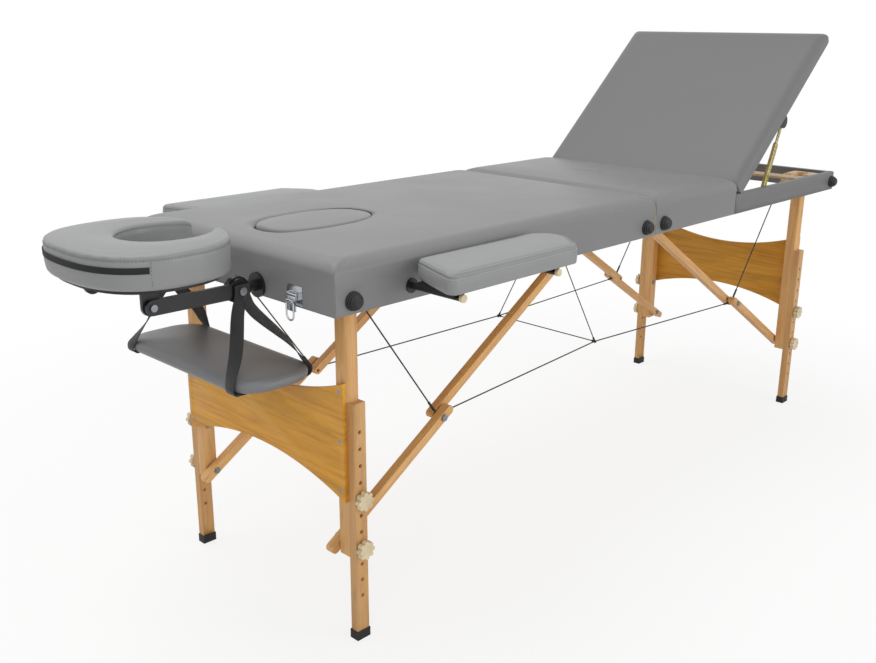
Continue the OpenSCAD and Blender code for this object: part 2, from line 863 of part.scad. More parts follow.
// Post section seen from above: square inside, round outside
module post_section() {
    intersection() {
        translate([-leg_a / 2, -post_crown]) square([leg_a, post_crown - post_in]);
        union() {
            translate([-leg_a / 2, -ext_in]) square([leg_a, post_b]);
            translate([0, -post_arc_y]) circle(r = post_r, $fn = $fn);
        }
    }
}

module posts() {
    color(beech) both_sides() translate([leg_u, 0, 0]) difference() {
        union() {
            translate([0, 0, post_end_z]) linear_extrude(height = pivot_z - post_end_z) post_section();
            translate([0, 0, pivot_z]) y_rod(leg_a / 2, -ext_in, -post_in, $fn);
        }
        translate([0, 0, pivot_z]) y_rod(pivot_bolt_r + fit, -post_crown - over, -post_in + over);
        for (z = [strut_foot_z, knob_high_z]) translate([0, 0, z])
            y_rod(bolt_r + fit, -post_crown - over, -post_in + over);
        for (s = screw_z_shares) translate([-leg_a / 2, -screw_y, screw_z(s)])
            x_rod(screw_r + fit, -over, screw_len - panel_t + clear);
    }
}

function screw_z(s) = panel_top_z - s * (panel_top_z - panel_bottom_z);

// End panel with a dipped upper edge and an arched lower edge, each a circle's arc
module panel() {
    half = ext_in;
    top_r = (pow(half, 2) + pow(panel_dip, 2)) / (2 * panel_dip);
    low_r = (pow(half, 2) + pow(panel_arch, 2)) / (2 * panel_arch);
    color(pine) translate([leg_u - leg_a / 2, 0, 0]) difference() {
        translate([-panel_t, -half, panel_bottom_z])
            cube([panel_t, 2 * half, panel_top_z - panel_bottom_z]);
        translate([0, 0, panel_top_z - panel_dip + top_r]) x_rod(top_r, -panel_t - over, over, 2 * $fn);
        translate([0, 0, panel_bottom_z + panel_arch - low_r]) x_rod(low_r, -panel_t - over, over, 2 * $fn);
        both_sides() for (s = screw_z_shares) translate([-panel_t, -screw_y, screw_z(s)]) {
            x_rod(screw_r + fit, -over, panel_t + over);
            x_rod(screw_head_r + fit, -over, screw_head_t);
        }
    }
}

// Screws of the end panel, and the bolts, washers and nuts that stay in the posts
module leg_bolts() {
    color(steel) both_sides() translate([leg_u, 0, 0]) {
        for (s = screw_z_shares) translate([-leg_a / 2 - panel_t, -screw_y, screw_z(s)]) {
            x_rod(screw_r, 0, screw_len);
            x_rod(screw_head_r, 0, screw_head_t);
        }
        translate([0, 0, knob_high_z]) {
            y_rod(bolt_r, -post_crown, -post_in);
            y_rod(nut_r, -post_in, -post_in + washer_t - clear, hex_fn);
        }
        translate([0, 0, strut_foot_z]) {
            y_rod(bolt_r, -post_crown, -lower_in + thin_nut_t + clear);
            y_rod(nut_r, -lower_in + clear, -lower_in + thin_nut_t, hex_fn);
            difference() {
                y_rod(washer_r, -post_in, -lower_out - clear);
                y_rod(bolt_r - fit, -post_in - over, -lower_out + over);
            }
        }
    }
}

// Leg extension: grooved along its inner face for the post's round side
module extension() {
    color(beech) translate([leg_u, 0, 0]) difference() {
        translate([-leg_a / 2, -leg_side, cap_floor])
            cube([leg_a, ext_b - clear, ext_top_z - cap_floor]);
        translate([0, -post_arc_y, cap_floor - over])
            cylinder(r = post_r + clear, h = ext_top_z, $fn = 2 * $fn);
        for (k = [0:hole_n - 1]) translate([0, 0, hole_z + k * hole_pitch])
            y_rod(hole_r, -leg_side - over, -ext_in);
    }
}

module foot_cap() {
    color(black) translate([leg_u, 0, 0]) difference() {
        translate([-leg_a / 2 - cap_wall, -leg_side - cap_wall, 0])
            cube([leg_a + 2 * cap_wall, ext_b + 2 * cap_wall, cap_h]);
        translate([-leg_a / 2 - fit, -leg_side - fit, cap_floor])
            cube([leg_a + 2 * fit, ext_b + 2 * fit, cap_h]);
    }
}

// Scalloped knob with its collar against the leg extension
module knob() {
    head = -leg_side - knob_collar_t - knob_t;
    color(cream) {
        y_rod(knob_collar_r, -leg_side - knob_collar_t, -leg_side - clear);
        difference() {
            union() {
                y_rod(knob_r - knob_lobe_r, head, head + knob_t);
                for (k = [0:knob_lobes - 1]) rotate([0, k * 360 / knob_lobes, 0])
                    translate([knob_r - knob_lobe_r, 0, 0]) y_rod(knob_lobe_r, head, head + knob_t);
            }
            for (k = [0:knob_lobes - 1]) rotate([0, (k + 0.5) * 360 / knob_lobes, 0])
                translate([knob_r, 0, 0]) y_rod(knob_dip_r, head - over, head + knob_t + over);
        }
    }
}

module knob_pair(z) {
    both_sides() translate([leg_u, 0, z]) knob();
}

// Lower struts, from the posts' lower bolts up to the knee
module lower_struts() {
    color(beech) both_sides() difference() {
        bar([leg_u, strut_foot_z], [knee_u, knee_z], strut_h, -lower_out, -lower_in,
            strut_tail - strut_h / 2, strut_knee_tail - strut_h / 2);
        translate([leg_u, 0, strut_foot_z]) y_rod(bolt_r + fit, -leg_side, 0);
        translate([knee_u, 0, knee_z]) y_rod(pivot_bolt_r + fit, -leg_side, 0);
    }
}

// Upper struts, from the knee up to the blocks by the fold
module upper_struts() {
    color(beech) both_sides() difference() {
        bar([knee_u, knee_z], [strut_end_u, strut_top_z], strut_h, -upper_out, -upper_in, 0, 0);
        translate([strut_end_u, 0, strut_top_z]) y_rod(pivot_bolt_r + fit, -leg_side, 0);
        translate([knee_u, 0, knee_z]) y_rod(pivot_bolt_r + fit, -leg_side, 0);
    }
}

// Knee bolts stand in the lower struts and end in the gap, where the cable's loop hangs on them
module knee_bolts() {
    color(steel) both_sides() translate([knee_u, 0, knee_z]) {
        y_rod(pivot_bolt_r, -lower_out - washer_t + clear, -upper_out - clear);
        y_rod(bolt_head_r, -lower_out - washer_t + clear, -lower_out);
    }
}

// Oval plug that fills the face hole
module face_plug() {
    top = pad_t + plug_rise;
    color(vinyl) translate([head_x + plug_u, 0, rail_z]) skin(concat(
        [for (s = [0, 1]) oval_ring(plug_len - 2 * plug_gap, plug_w - 2 * plug_gap,
            clear + s * (top - pad_edge_r))],
        [for (k = [1:side_n]) let (a = 90 * k / side_n, s = pad_edge_r / 2 * (1 - cos(a)))
            oval_ring(plug_len - 2 * (plug_gap + s), plug_w - 2 * (plug_gap + s),
                top - pad_edge_r + pad_edge_r / 2 * sin(a) + clear)],
        [for (k = crown_rings_shares) oval_ring((plug_len - pad_edge_r) * k, (plug_w - pad_edge_r) * k,
            top - pad_edge_r / 2 + (pad_edge_r / 2) * (1 - pow(k, 2)))]));
}

function oval_ring(l, w, z) = [for (i = [0:$fn - 1]) let (a = 360 * i / $fn)
    [l / 2 * rounded(cos(a)), w / 2 * rounded(sin(a)), z]];

// Backrest pieces are drawn flat, with the hinge axis at the origin, and then tilted
module tilted() {
    translate([foot_x - back_u, 0, back_z]) rotate([0, -back_tilt, 0]) children();
}

module backrest_board() {
    color(ply) tilted() translate([ear_r, -top_w / 2 + back_round_y, -back_t / 2])
        cube([back_len - ear_r - back_round_y, top_w - 2 * back_round_y, back_board_t]);
}

module backrest_cushion() {
    r = back_t / 2;
    color(vinyl) tilted() difference() {
        intersection() {
            translate([(back_len - r) / 2, 0, back_board_t - r]) pad(back_len + r, top_w,
                back_t - back_board_t, pad_corner_r, pad_edge_r, pad_crown, pad_draw);
            union() {
                y_rod(r, -top_w, top_w, $fn);
                translate([0, -top_w, -back_t]) cube([2 * back_len, 2 * top_w, 2 * back_t]);
            }
        }
        both_sides() translate([-back_t, -hinge_side - pocket_w / 2, -back_t])
            cube([back_t + ear_len + ear_foot_w / 2, pocket_w, back_t + pocket_top]);
    }
}

// Hinge ears on the board, and the black plates that carry the stays
module backrest_brackets() {
    r = back_t / 2;
    bar_h = (r - back_board_t) * 0.7;
    color(steel) tilted() both_sides() translate([0, -hinge_side, 0]) difference() {
        union() {
            y_rod(ear_r, ear_gap / 2, ear_gap / 2 + ear_t);
            translate([0, ear_gap / 2, back_board_t - r]) cube([ear_len, ear_t, bar_h]);
        }
        y_rod(ear_bore_r, -over, ear_t + over);
    }
    color(black) tilted() both_sides() {
        translate([stay_s - stay_plate_w / 2, -stay_y - stay_depth / 2 - clear - stay_plate_t, -stay_w])
            cube([stay_plate_w, stay_plate_t, stay_w - r]);
        translate([stay_s - stay_plate_w / 2, -stay_y - stay_depth / 2 - clear, -r - stay_plate_t])
            cube([stay_plate_w, stay_plate_w, stay_plate_t]);
        translate([stay_s, 0, -stay_w]) {
            y_rod(stay_plate_w / 2, -stay_y - stay_depth / 2 - clear - stay_plate_t,
                -stay_y - stay_depth / 2 - clear);
            y_rod(stay_pin_r, -stay_y - stay_depth / 2 - clear, -stay_y + strip_t / 2);
        }
    }
}

// Foot-side ears with their pins, and the plates beside the stays' lower ends
module tilt_brackets() {
    axis_x = -back_u;
    slat_x = -seat_slat_u;
    foot_top = deck_z - clear;
    near = -ear_gap / 2;
    color(steel) translate([foot_x, 0, 0]) both_sides() translate([0, -hinge_side, 0]) {
        translate([axis_x, 0, back_z]) y_rod(ear_r, near - ear_t, near);
        translate([axis_x - ear_arm, near - ear_t, foot_top - 2 * ear_arm])
            cube([2 * ear_arm, ear_t, back_z - foot_top + 2 * ear_arm]);
        translate([slat_x, near - ear_t, foot_top - 2 * ear_arm])
            cube([axis_x - slat_x, ear_t, 2 * ear_arm]);
        translate([slat_x, -ear_foot_w, foot_top - 2 * ear_arm])
            cube([ear_t, ear_foot_w + near, 2 * ear_arm]);
        translate([axis_x, 0, back_z]) y_rod(ear_pin_r, near - ear_t, -near + ear_t + clear);
    }
    color(zinc) both_sides() translate([stay_foot_x, 0, stay_foot_z])
        y_rod(stay_plate_w / 2, -board_in, -stay_y - stay_depth / 2 - clear);
}

// Stay pieces are drawn along X from the lower pivot and then turned up to the backrest
module along_stay() {
    translate([stay_foot_x, 0, stay_foot_z]) rotate([0, -stay_angle, 0]) children();
}

module stay_strips() {
    color(zinc) along_stay() both_sides() difference() {
        bar([stay_len - stay_strip_len, 0], [stay_len, 0], strip_w, -stay_y - strip_t / 2,
            -stay_y + strip_t / 2);
        translate([stay_len, 0, 0]) y_rod(stay_pin_r + fit, -top_w, 0);
        for (s = [2 * stay_pitch:stay_pitch:stay_strip_len]) translate([stay_len - s, 0, 0])
            y_rod(stay_hole_r, -top_w, 0);
    }
}

module stay_channels() {
    w = stay_channel_w;
    color(zinc) along_stay() both_sides() difference() {
        bar([0, 0], [stay_channel_len - w / 2, 0], w, -stay_y - stay_depth / 2, -stay_y + stay_depth / 2);
        translate([-w, -stay_y - stay_depth / 2 - over, -w / 2 + stay_lip_t])
            cube([stay_channel_len + 2 * w, stay_depth - stay_web_t + over, w - 2 * stay_lip_t]);
        for (s = [0:stay_pitch:stay_channel_len - w]) translate([s, 0, 0])
            y_rod(stay_hole_r, -top_w, 0);
    }
}

// Rods that plug into the table and end in the joint's inner discs
module cradle_rods() {
    color(black) both_sides() {
        translate([0, rod_y, joint_z]) x_rod(rod_r, joint_x + disc_r, head_x + socket_len - clear, $fn);
        translate([joint_x, 0, joint_z]) difference() {
            union() {
                y_rod(disc_r, rod_y - disc_t / 2, rod_y + disc_t / 2, $fn);
                translate([0, rod_y - disc_t / 2, -disc_t / 2]) cube([disc_r + disc_t / 2, disc_t, disc_t]);
            }
            y_rod(cradle_bolt_r + fit, rod_y - disc_t, rod_y + disc_t);
        }
    }
    color(chrome) both_sides() translate([joint_x, 0, joint_z]) {
        y_rod(cradle_bolt_r, rod_y - disc_t / 2 - lever_t - 2 * clear, strap_apex_y + strap_t + clear);
        y_rod(bolt_head_r, strap_apex_y + strap_t + clear, strap_apex_y + strap_t + bolt_head_t);
    }
}

// Arms outside the discs, running forward to the bolts that carry the base
module cradle_arms() {
    a = rod_y + disc_t / 2 + clear;
    b = a + arm_plate_t;
    color(black) both_sides() difference() {
        union() {
            bar([arm_bolt_x, arm_bolt_z], [joint_x, joint_z], arm_h, a, b);
            translate([joint_x, 0, joint_z]) y_rod(disc_r - 2 * over, a, b, $fn);
        }
        translate([joint_x, 0, joint_z]) y_rod(cradle_bolt_r + fit, a - over, b + over);
    }
    color(chrome) both_sides() translate([arm_bolt_x, 0, arm_bolt_z]) {
        y_rod(cradle_bolt_r, a - base_tab_t - clear, b + over);
        y_rod(bolt_head_r - over, b, b + bolt_head_t - over);
    }
}

// Flat horseshoe that carries the pillow, with tabs down to the arms' front bolts
module cradle_base() {
    z = pillow_z - base_t - clear;
    a = rod_y + disc_t / 2;
    rear = head_x - base_end_u;
    color(black) difference() {
        union() {
            translate([0, 0, z]) linear_extrude(height = base_t)
                polygon([for (i = [0:$fn - 1]) pillow_outer(180 - 360 * i / $fn, -base_inset)]);
            both_sides() {
                translate([arm_bolt_x - base_tab_w / 2, a - base_tab_t, arm_bolt_z])
                    cube([base_tab_w, base_tab_t, z - arm_bolt_z + over]);
                translate([arm_bolt_x, 0, arm_bolt_z]) y_rod(base_tab_w / 2, a - base_tab_t, a);
            }
        }
        translate([0, 0, z - over]) linear_extrude(height = base_t + 2 * over)
            polygon([for (i = [0:$fn - 1]) pillow_inner(180 - 360 * i / $fn, base_inset / 2)]);
        translate([rear, -pillow_w, z - over])
            cube([pillow_end + base_end_u, 2 * pillow_w, base_t + 2 * over]);
        both_sides() translate([arm_bolt_x, 0, arm_bolt_z])
            y_rod(cradle_bolt_r + fit, a - base_tab_t - over, a + over);
    }
}

// Cam levers on the inner ends of the joint bolts
module cradle_levers() {
    b = rod_y - disc_t / 2 - clear;
    color(black) both_sides() difference() {
        union() {
            translate([joint_x, 0, joint_z]) y_rod(lever_hub_r, b - lever_t, b);
            bar([joint_x - lever_len, joint_z], [joint_x, joint_z], lever_h, b - lever_t, b);
        }
        translate([joint_x, 0, joint_z]) y_rod(cradle_bolt_r + fit, b - lever_t - over, b + over);
    }
}

// Points of the pillow's outer outline and of its opening at a turn from the front
function rounded(v) = sign(v) * pow(abs(v), pillow_square);
function pillow_outer(t, grow = 0) = [pillow_x - (pillow_rx + grow) * rounded(cos(t)),
    (pillow_w / 2 + grow) * rounded(sin(t))];
function pillow_inner(t, grow = 0) = [hole_x - (hole_rx + grow) * cos(t), (pillow_gap / 2 + grow) * sin(t)];

// Horseshoe pillow: one cushion section swept from the near tip round to the far tip
module face_pillow() {
    n = 20;
    bend_n = 26;
    arm_turn = pillow_turn - pillow_tip_turn;
    tip_shares = [0.12, 0.45, 0.72, 0.9, 1];
    near = [for (s = tip_shares) [-pillow_turn + pillow_tip_turn * s, sqrt(1 - pow(1 - s, 2))]];
    bend = [for (k = [1:bend_n - 1]) [arm_turn * (2 * k / bend_n - 1), 1]];
    far = [for (i = [len(tip_shares) - 1:-1:0]) [-near[i][0], near[i][1]]];
    color(vinyl) translate([0, 0, pillow_z]) skin(
        [for (p = concat(near, bend, far)) pillow_ring(p, n)]);
}

// Section of the pillow at a station [turn, size]: flat below, crowned above
function pillow_ring(p, n) = [for (i = [0:n - 1])
    let (
        outer = pillow_outer(p[0]),
        inner = pillow_inner(p[0]),
        mid = (outer + inner) / 2,
        half = (outer - inner) / 2 * p[1],
        c = cos(360 * i / n),
        s = sin(360 * i / n),
        across = sign(c) * pow(abs(c), pillow_power_share),
        low_share = 0.7 + 0.3 * p[1],
        up = pillow_t / 2 * (1 + low_share * sign(s) * pow(abs(s), pillow_power_share)))
    [mid[0] + across * half[0], mid[1] + across * half[1], up]];

// Padded board that the forearms rest on
module sling_board() {
    color(vinyl_dark) translate([sling_x, 0, sling_z])
        pad(sling_w, sling_len, sling_t, sling_corner_r, sling_t / 3, sling_t / 6, pad_draw);
}

// A ribbon between two points whose width turns from the direction u to the direction v
module ribbon(p, q, u, v, w, t) {
    n = 8;
    skin([for (k = [0:n]) let (
            s = k / n,
            c = p + s * (q - p),
            d = (1 - s) * u + s * v,
            side = d / norm(d),
            out = cross((q - p) / norm(q - p), side))
        [for (m = [[1, 1], [-1, 1], [-1, -1], [1, -1]])
            c + m[0] * w / 2 * side + m[1] * t / 2 * out]]);
}

// Webbing: two legs from each joint bolt to the board's edges, and a band under the board
module sling_straps() {
    half = sling_w / 2 + strap_gap + strap_t / 2;
    low = sling_z - strap_gap - strap_t;
    color(black) both_sides() difference() {
        union() {
            for (side = [-1, 1]) ribbon([joint_x, -strap_apex_y - strap_t / 2, joint_z - lever_hub_r],
                [sling_x + side * half, -strap_y, sling_z + sling_t - strap_t], [1, 0, 0], [0, 1, 0],
                strap_w, strap_t);
            strap_band(half, low);
            translate([joint_x, 0, joint_z]) y_rod(strap_w / 2, -strap_apex_y - strap_t, -strap_apex_y);
        }
        translate([joint_x, 0, joint_z]) y_rod(cradle_bolt_r + clear, -strap_apex_y - 2 * strap_t, 0);
    }
}

// Band of webbing under the board, turned up at both edges
module strap_band(half, low) {
    translate([sling_x, -strap_y - strap_w / 2, 0]) difference() {
        translate([-half - strap_t / 2, 0, low])
            cube([2 * half + strap_t, strap_w, sling_t + strap_t + strap_gap]);
        translate([-half + strap_t / 2, -over, low + strap_t])
            cube([2 * half - strap_t, strap_w + 2 * over, 2 * sling_t]);
    }
}

// Corners of an armrest seen from above, counter-clockwise from the outer corner at the head side;
// the head-side end is slanted and the other end has two cut corners
arm_corners = [[0, 0], [arm_len - arm_cut[0], 0], [arm_len, arm_cut[1]], [arm_len, arm_w - arm_nose[1]],
    [arm_len - arm_nose[0], arm_w], [arm_slant, arm_w]];
function arm_corner(i) = arm_corners[(i + len(arm_corners)) % len(arm_corners)];
function arm_normal(i) = let (d = arm_corner(i + 1) - arm_corner(i)) [d[1], -d[0]] / norm(d);
function arm_centre(i) = let (a = arm_normal(i - 1), b = arm_normal(i))
    arm_corner(i) - arm_corner_r * (a + b) / (1 + a * b);
function arm_angle(i) = let (n = arm_normal(i), a = atan2(n[1], n[0])) a < -91 ? a + 360 : a;

// Ring round an armrest, drawn in by inset and shrunk to share
function arm_ring(inset, share, z) = [for (i = [0:len(arm_corners) - 1], k = [0:corner_n])
    let (
        from = i == 0 ? arm_angle(len(arm_corners) - 1) - 360 : arm_angle(i - 1),
        a = from + (arm_angle(i) - from) * k / corner_n,
        p = arm_centre(i) + (arm_corner_r - inset) * [cos(a), sin(a)],
        mid = [arm_len / 2, arm_w / 2],
        q = mid + share * (p - mid))
    [q[0], q[1], z]];

module armrest_pad() {
    top = arm_t - pad_crown;
    e = arm_edge_r;
    color(vinyl) translate([head_x + arm_start, -top_w / 2 - arm_gap - arm_w, frame_z + arm_up])
        skin(concat(
            [arm_ring(e * side_bulge_share / 2, 1, 0), arm_ring(0, 1, e * side_bulge_share)],
            [for (k = [0:side_n]) let (a = 90 * k / side_n)
                arm_ring(e * (1 - cos(a)), 1, top - e + e * sin(a))],
            [for (k = crown_rings_shares) arm_ring(e, k, top + pad_crown * (1 - pow(k, 2)))]));
}

// Plate under the pad, with the two pegs that plug into the table's side
module armrest_bracket() {
    outer = -top_w / 2 - arm_gap - arm_w + nub_in;
    color(black) translate([head_x + arm_start, 0, 0]) for (u = arm_peg_u) {
        translate([u, 0, peg_z]) y_rod(peg_r, outer + nub_t, -board_in - over);
        translate([u - arm_plate_w / 2, outer + 2 * nub_t, peg_z])
            cube([arm_plate_w, arm_w - 2 * nub_in - 2 * nub_t, frame_z + arm_up - peg_z]);
    }
    color(cream) translate([head_x + arm_start, 0, 0]) for (u = arm_peg_u)
        translate([u, 0, peg_z]) y_rod(nub_r, outer, outer + nub_t);
}

// Levers of the draw latches, hanging from their pins
module latch_levers() {
    color(chrome) head_half() both_sides() translate([-latch_pin_out, -latch_y, latch_z]) {
        difference() {
            y_rod(latch_pin_r + latch_lever_t, -latch_lever_w / 2, latch_lever_w / 2);
            y_rod(latch_pin_r + fit, -latch_lever_w, latch_lever_w);
        }
        translate([-latch_pin_r - latch_lever_t, -latch_lever_w / 2, -latch_lever_len])
            cube([latch_lever_t, latch_lever_w, latch_lever_len]);
        translate([-bail_out + latch_pin_out, 0, -bail_drop]) difference() {
            y_rod(bail_r + latch_lever_t, -bail_w / 2 + 2.5 * bail_r, bail_w / 2 - 2.5 * bail_r);
            y_rod(bail_r + fit, -bail_w, bail_w);
        }
    }
}

// Wire bails that hang from the levers
module latch_bails() {
    r = bail_w / 2;
    color(chrome) head_half() both_sides()
        translate([-bail_out, -latch_y, latch_z - bail_drop]) {
            y_rod(bail_r, -r, r);
            both_sides() translate([0, -r + bail_r, -bail_len + r])
                cylinder(r = bail_r, h = bail_len - r, $fn = small_fn);
            translate([0, 0, -bail_len + r]) rotate([0, 90, 0]) rotate([0, 0, -90])
                rotate_extrude(angle = 180, $fn = $fn) translate([r - bail_r, 0])
                circle(r = bail_r, $fn = small_fn);
        }
}

head_frame();
head_cushion();
head_half() half_blocks();  // head_blocks
head_hardware();
head_bumpers();
cradle_sockets();
armrest_sockets();
head_half() half_cables();  // head_cables
centre_cables();
foot_frame();
seat_cushion();
foot_half() half_blocks();  // foot_blocks
foot_hardware();
foot_bumpers();
tilt_brackets();
foot_half() half_cables();  // foot_cables
backrest_board();
backrest_cushion();
backrest_brackets();
stay_strips();
stay_channels();
head_half() posts();  // head_posts
head_half() panel();  // head_panel
head_half() leg_bolts();  // head_leg_bolts
head_half() extension();  // head_near_extension
head_half() foot_cap();  // head_near_cap
head_half() mirror([0, 1, 0]) extension();  // head_far_extension
head_half() mirror([0, 1, 0]) foot_cap();  // head_far_cap
head_half() knob_pair(knob_high_z);  // head_upper_knobs
head_half() knob_pair(strut_foot_z);  // head_lower_knobs
head_half() lower_struts();  // head_lower_struts
head_half() upper_struts();  // head_upper_struts
head_half() knee_bolts();  // head_knee_bolts
foot_half() posts();  // foot_posts
foot_half() panel();  // foot_panel
foot_half() leg_bolts();  // foot_leg_bolts
foot_half() extension();  // foot_near_extension
foot_half() foot_cap();  // foot_near_cap
foot_half() mirror([0, 1, 0]) extension();  // foot_far_extension
foot_half() mirror([0, 1, 0]) foot_cap();  // foot_far_cap
foot_half() knob_pair(knob_high_z);  // foot_upper_knobs
foot_half() knob_pair(strut_foot_z);  // foot_lower_knobs
foot_half() lower_struts();  // foot_lower_struts
foot_half() upper_struts();  // foot_upper_struts
foot_half() knee_bolts();  // foot_knee_bolts
face_plug();
cradle_rods();
cradle_arms();
cradle_base();
cradle_levers();
face_pillow();
sling_board();
sling_straps();
armrest_pad();  // near_armrest_pad
armrest_bracket();  // near_armrest_bracket
mirror([0, 1, 0]) armrest_pad();  // far_armrest_pad
mirror([0, 1, 0]) armrest_bracket();  // far_armrest_bracket
latch_plates();
latch_levers();
latch_bails();
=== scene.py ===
"""Folding massage table with a lift-up backrest, face cradle, arm sling and armrests.

Lengths are in metres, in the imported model's own frame: X from the face cradle to the
backrest's end, Y to the far side, Z up from the floor.
"""
import math

import bmesh
import bpy
import numpy as np
from mathutils import Matrix, Vector


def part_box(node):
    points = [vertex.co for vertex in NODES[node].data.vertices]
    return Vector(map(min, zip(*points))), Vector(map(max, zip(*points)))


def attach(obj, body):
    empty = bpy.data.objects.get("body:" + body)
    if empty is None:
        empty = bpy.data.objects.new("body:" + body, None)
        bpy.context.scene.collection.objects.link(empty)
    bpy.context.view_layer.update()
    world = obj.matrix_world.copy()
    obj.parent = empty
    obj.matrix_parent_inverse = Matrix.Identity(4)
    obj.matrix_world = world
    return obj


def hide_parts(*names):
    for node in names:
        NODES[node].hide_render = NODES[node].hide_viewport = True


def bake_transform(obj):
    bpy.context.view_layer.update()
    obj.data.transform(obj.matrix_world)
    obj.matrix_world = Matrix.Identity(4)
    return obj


bl_info = {
    "name": "Folding massage table",
    "version": (1, 0, 0),
    "blender": (4, 5, 0),
    "location": "View3D > Sidebar > Massage table",
    "description": "Dresses the packed table with upholstery, wood, metal and cables",
    "category": "Object",
}

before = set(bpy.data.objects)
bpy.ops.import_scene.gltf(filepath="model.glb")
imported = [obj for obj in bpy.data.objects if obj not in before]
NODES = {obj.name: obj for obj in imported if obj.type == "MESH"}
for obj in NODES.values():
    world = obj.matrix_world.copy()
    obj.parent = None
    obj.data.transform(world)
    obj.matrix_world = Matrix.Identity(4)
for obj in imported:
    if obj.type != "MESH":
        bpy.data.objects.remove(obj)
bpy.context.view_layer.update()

# Main places in the frame; a name ending in _U is a distance from the half's own end
HEAD_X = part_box("head_frame")[0].x - 0.0015
FOOT_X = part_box("foot_frame")[1].x + 0.0015
FOLD_X = (HEAD_X + FOOT_X) / 2
TOP_W = 0.600
FRAME_Z = 0.646
DECK_Z = 0.696
COVER = 0.0015
RAIL_T = 0.015
SEAT_U = 0.568
BACK_U = 0.542
BACK_Z = DECK_Z + 0.0223
BACK_TILT = math.radians(41.6)
BACK_HALF = 0.022
BACK_LEN = 0.530
BOARD_TOP = -0.0138
PLUG_U = 0.206
PLUG_A, PLUG_B = 0.124, 0.076
PILLOW_Z = 0.706
PILLOW_X, PILLOW_RX, PILLOW_RY = HEAD_X - 0.1715, 0.1315, 0.160
OPENING_X, OPENING_RX, OPENING_RY = HEAD_X - 0.119, 0.083, 0.076
PILLOW_TURN = math.pi - math.asin(48 / 152)
PILLOW_TIP = math.radians(19)
TAPE_TURN = math.radians(66)
JOINT_X, JOINT_Z = HEAD_X - 0.045, 0.665
FRONT_BOLT_X, FRONT_BOLT_Z = HEAD_X - 0.210, 0.667
SLING_X, SLING_HALF, SLING_LOW, SLING_HIGH = HEAD_X - 0.032, 0.081, 0.5092, 0.5300
KNEE_Y, NET_Y, NET_Z = 0.196, 0.154, 0.363
ARM_U, ARM_GAP, ARM_LEN, ARM_W = 0.124, 0.014, 0.376, 0.124
ARM_LOW, ARM_TOP = 0.6842, 0.7215


def length(name, description, default, least, most):
    """A length property in metres."""
    return bpy.props.FloatProperty(name=name, description=description, default=default,
                                   min=least, max=most, unit="LENGTH")


def colour(name, description, default):
    """A colour property as an sRGB hex value."""
    return bpy.props.StringProperty(name=name, description=description, default=default)


class TableSizes(bpy.types.PropertyGroup):
    """Sizes of the soft parts and cables"""
    top_round: length("Top edge radius", "Rounding of the top cushions' upper edges", 0.021, 0.01, 0.035)
    shoulder: length("Shoulder width", "Width of the rounding along the top's edges", 0.036, 0.015, 0.06)
    top_z: length("Top height", "Height of the top cushions' upper faces", 0.7405, 0.735, 0.745)
    crown: length("Crown", "Rise of a top cushion's middle above its edges", 0.0045, 0.0, 0.01)
    stitch_pitch: length("Stitch pitch", "Distance from stitch to stitch", 0.0055, 0.003, 0.01)
    cable_radius: length("Cable radius", "Radius of the sleeved cables", 0.0015, 0.001, 0.002)


class TableColours(bpy.types.PropertyGroup):
    """Main colours as sRGB hex values"""
    vinyl: colour("Vinyl", "Colour of the top's vinyl", "#7f7f80")
    # The pillow's and armrests' vinyl is set lighter than the top's: a painted highlight on their crowned
    # tops
    vinyl_pillow: colour("Pillow vinyl", "Colour of the face pillow's and armrests' vinyl", "#8e8f8f")
    vinyl_sling: colour("Sling vinyl", "Colour of the arm sling's vinyl", "#77787a")
    beech: colour("Beech", "Mean colour of the beech", "#e2b172")
    pine: colour("Panel", "Mean colour of the end panels", "#e3a638")


def sizes():
    """The size properties of the scene."""
    return bpy.context.scene.table_sizes


def colours():
    """The colour properties of the scene."""
    return bpy.context.scene.table_colours


# Materials

def linear(hex_colour):
    """An sRGB hex colour as linear red, green, blue and alpha."""
    value = hex_colour.lstrip("#")
    srgb = np.array([int(value[i:i + 2], 16) for i in (0, 2, 4)]) / 255
    low = srgb / 12.92
    high = ((srgb + 0.055) / 1.055) ** 2.4
    return tuple(float(c) for c in np.where(srgb <= 0.04045, low, high)) + (1.0,)


def shade(hex_colour, factor):
    """A hex colour with its three values multiplied by a factor."""
    value = hex_colour.lstrip("#")
    parts = [min(255, max(0, round(int(value[i:i + 2], 16) * factor))) for i in (0, 2, 4)]
    return "#" + "".join(f"{p:02x}" for p in parts)


def wire(tree, node, links=None, values=None):
    """Gives a node's inputs their values and the links into them."""
    for key, value in (values or {}).items():
        node.inputs[key].default_value = value
    for key, socket in (links or {}).items():
        tree.links.new(socket, node.inputs[key])
    return node


def add(tree, kind, links=None, values=None, **settings):
    """Adds a node with its settings, its sockets' values and the links into it."""
    node = tree.nodes.new(kind)
    for key, value in settings.items():
        setattr(node, key, value)
    return wire(tree, node, links, values)


def ramp(tree, factor, stops):
    """A colour ramp from (place, hex colour) stops."""
    node = add(tree, "ShaderNodeValToRGB", {0: factor})
    elements = node.color_ramp.elements
    while len(elements) < len(stops):
        elements.new(0.5)
    for element, (place, colour) in zip(elements, stops):
        element.position = place
        element.color = linear(colour)
    return node.outputs[0]


def start(name):
    """A new node material with its shader, and object coordinates."""
    material = bpy.data.materials.new(name)
    material.use_nodes = True
    tree = material.node_tree
    shader = tree.nodes["Principled BSDF"]
    place = add(tree, "ShaderNodeTexCoord").outputs["Object"]
    return material, tree, shader, place


def bump(tree, height, strength, distance, below=None):
    """The normal of a height field, laid over another normal if one is given."""
    links = {"Height": height} if below is None else {"Height": height, "Normal": below}
    return add(tree, "ShaderNodeBump", links, {"Strength": strength, "Distance": distance}).outputs[0]


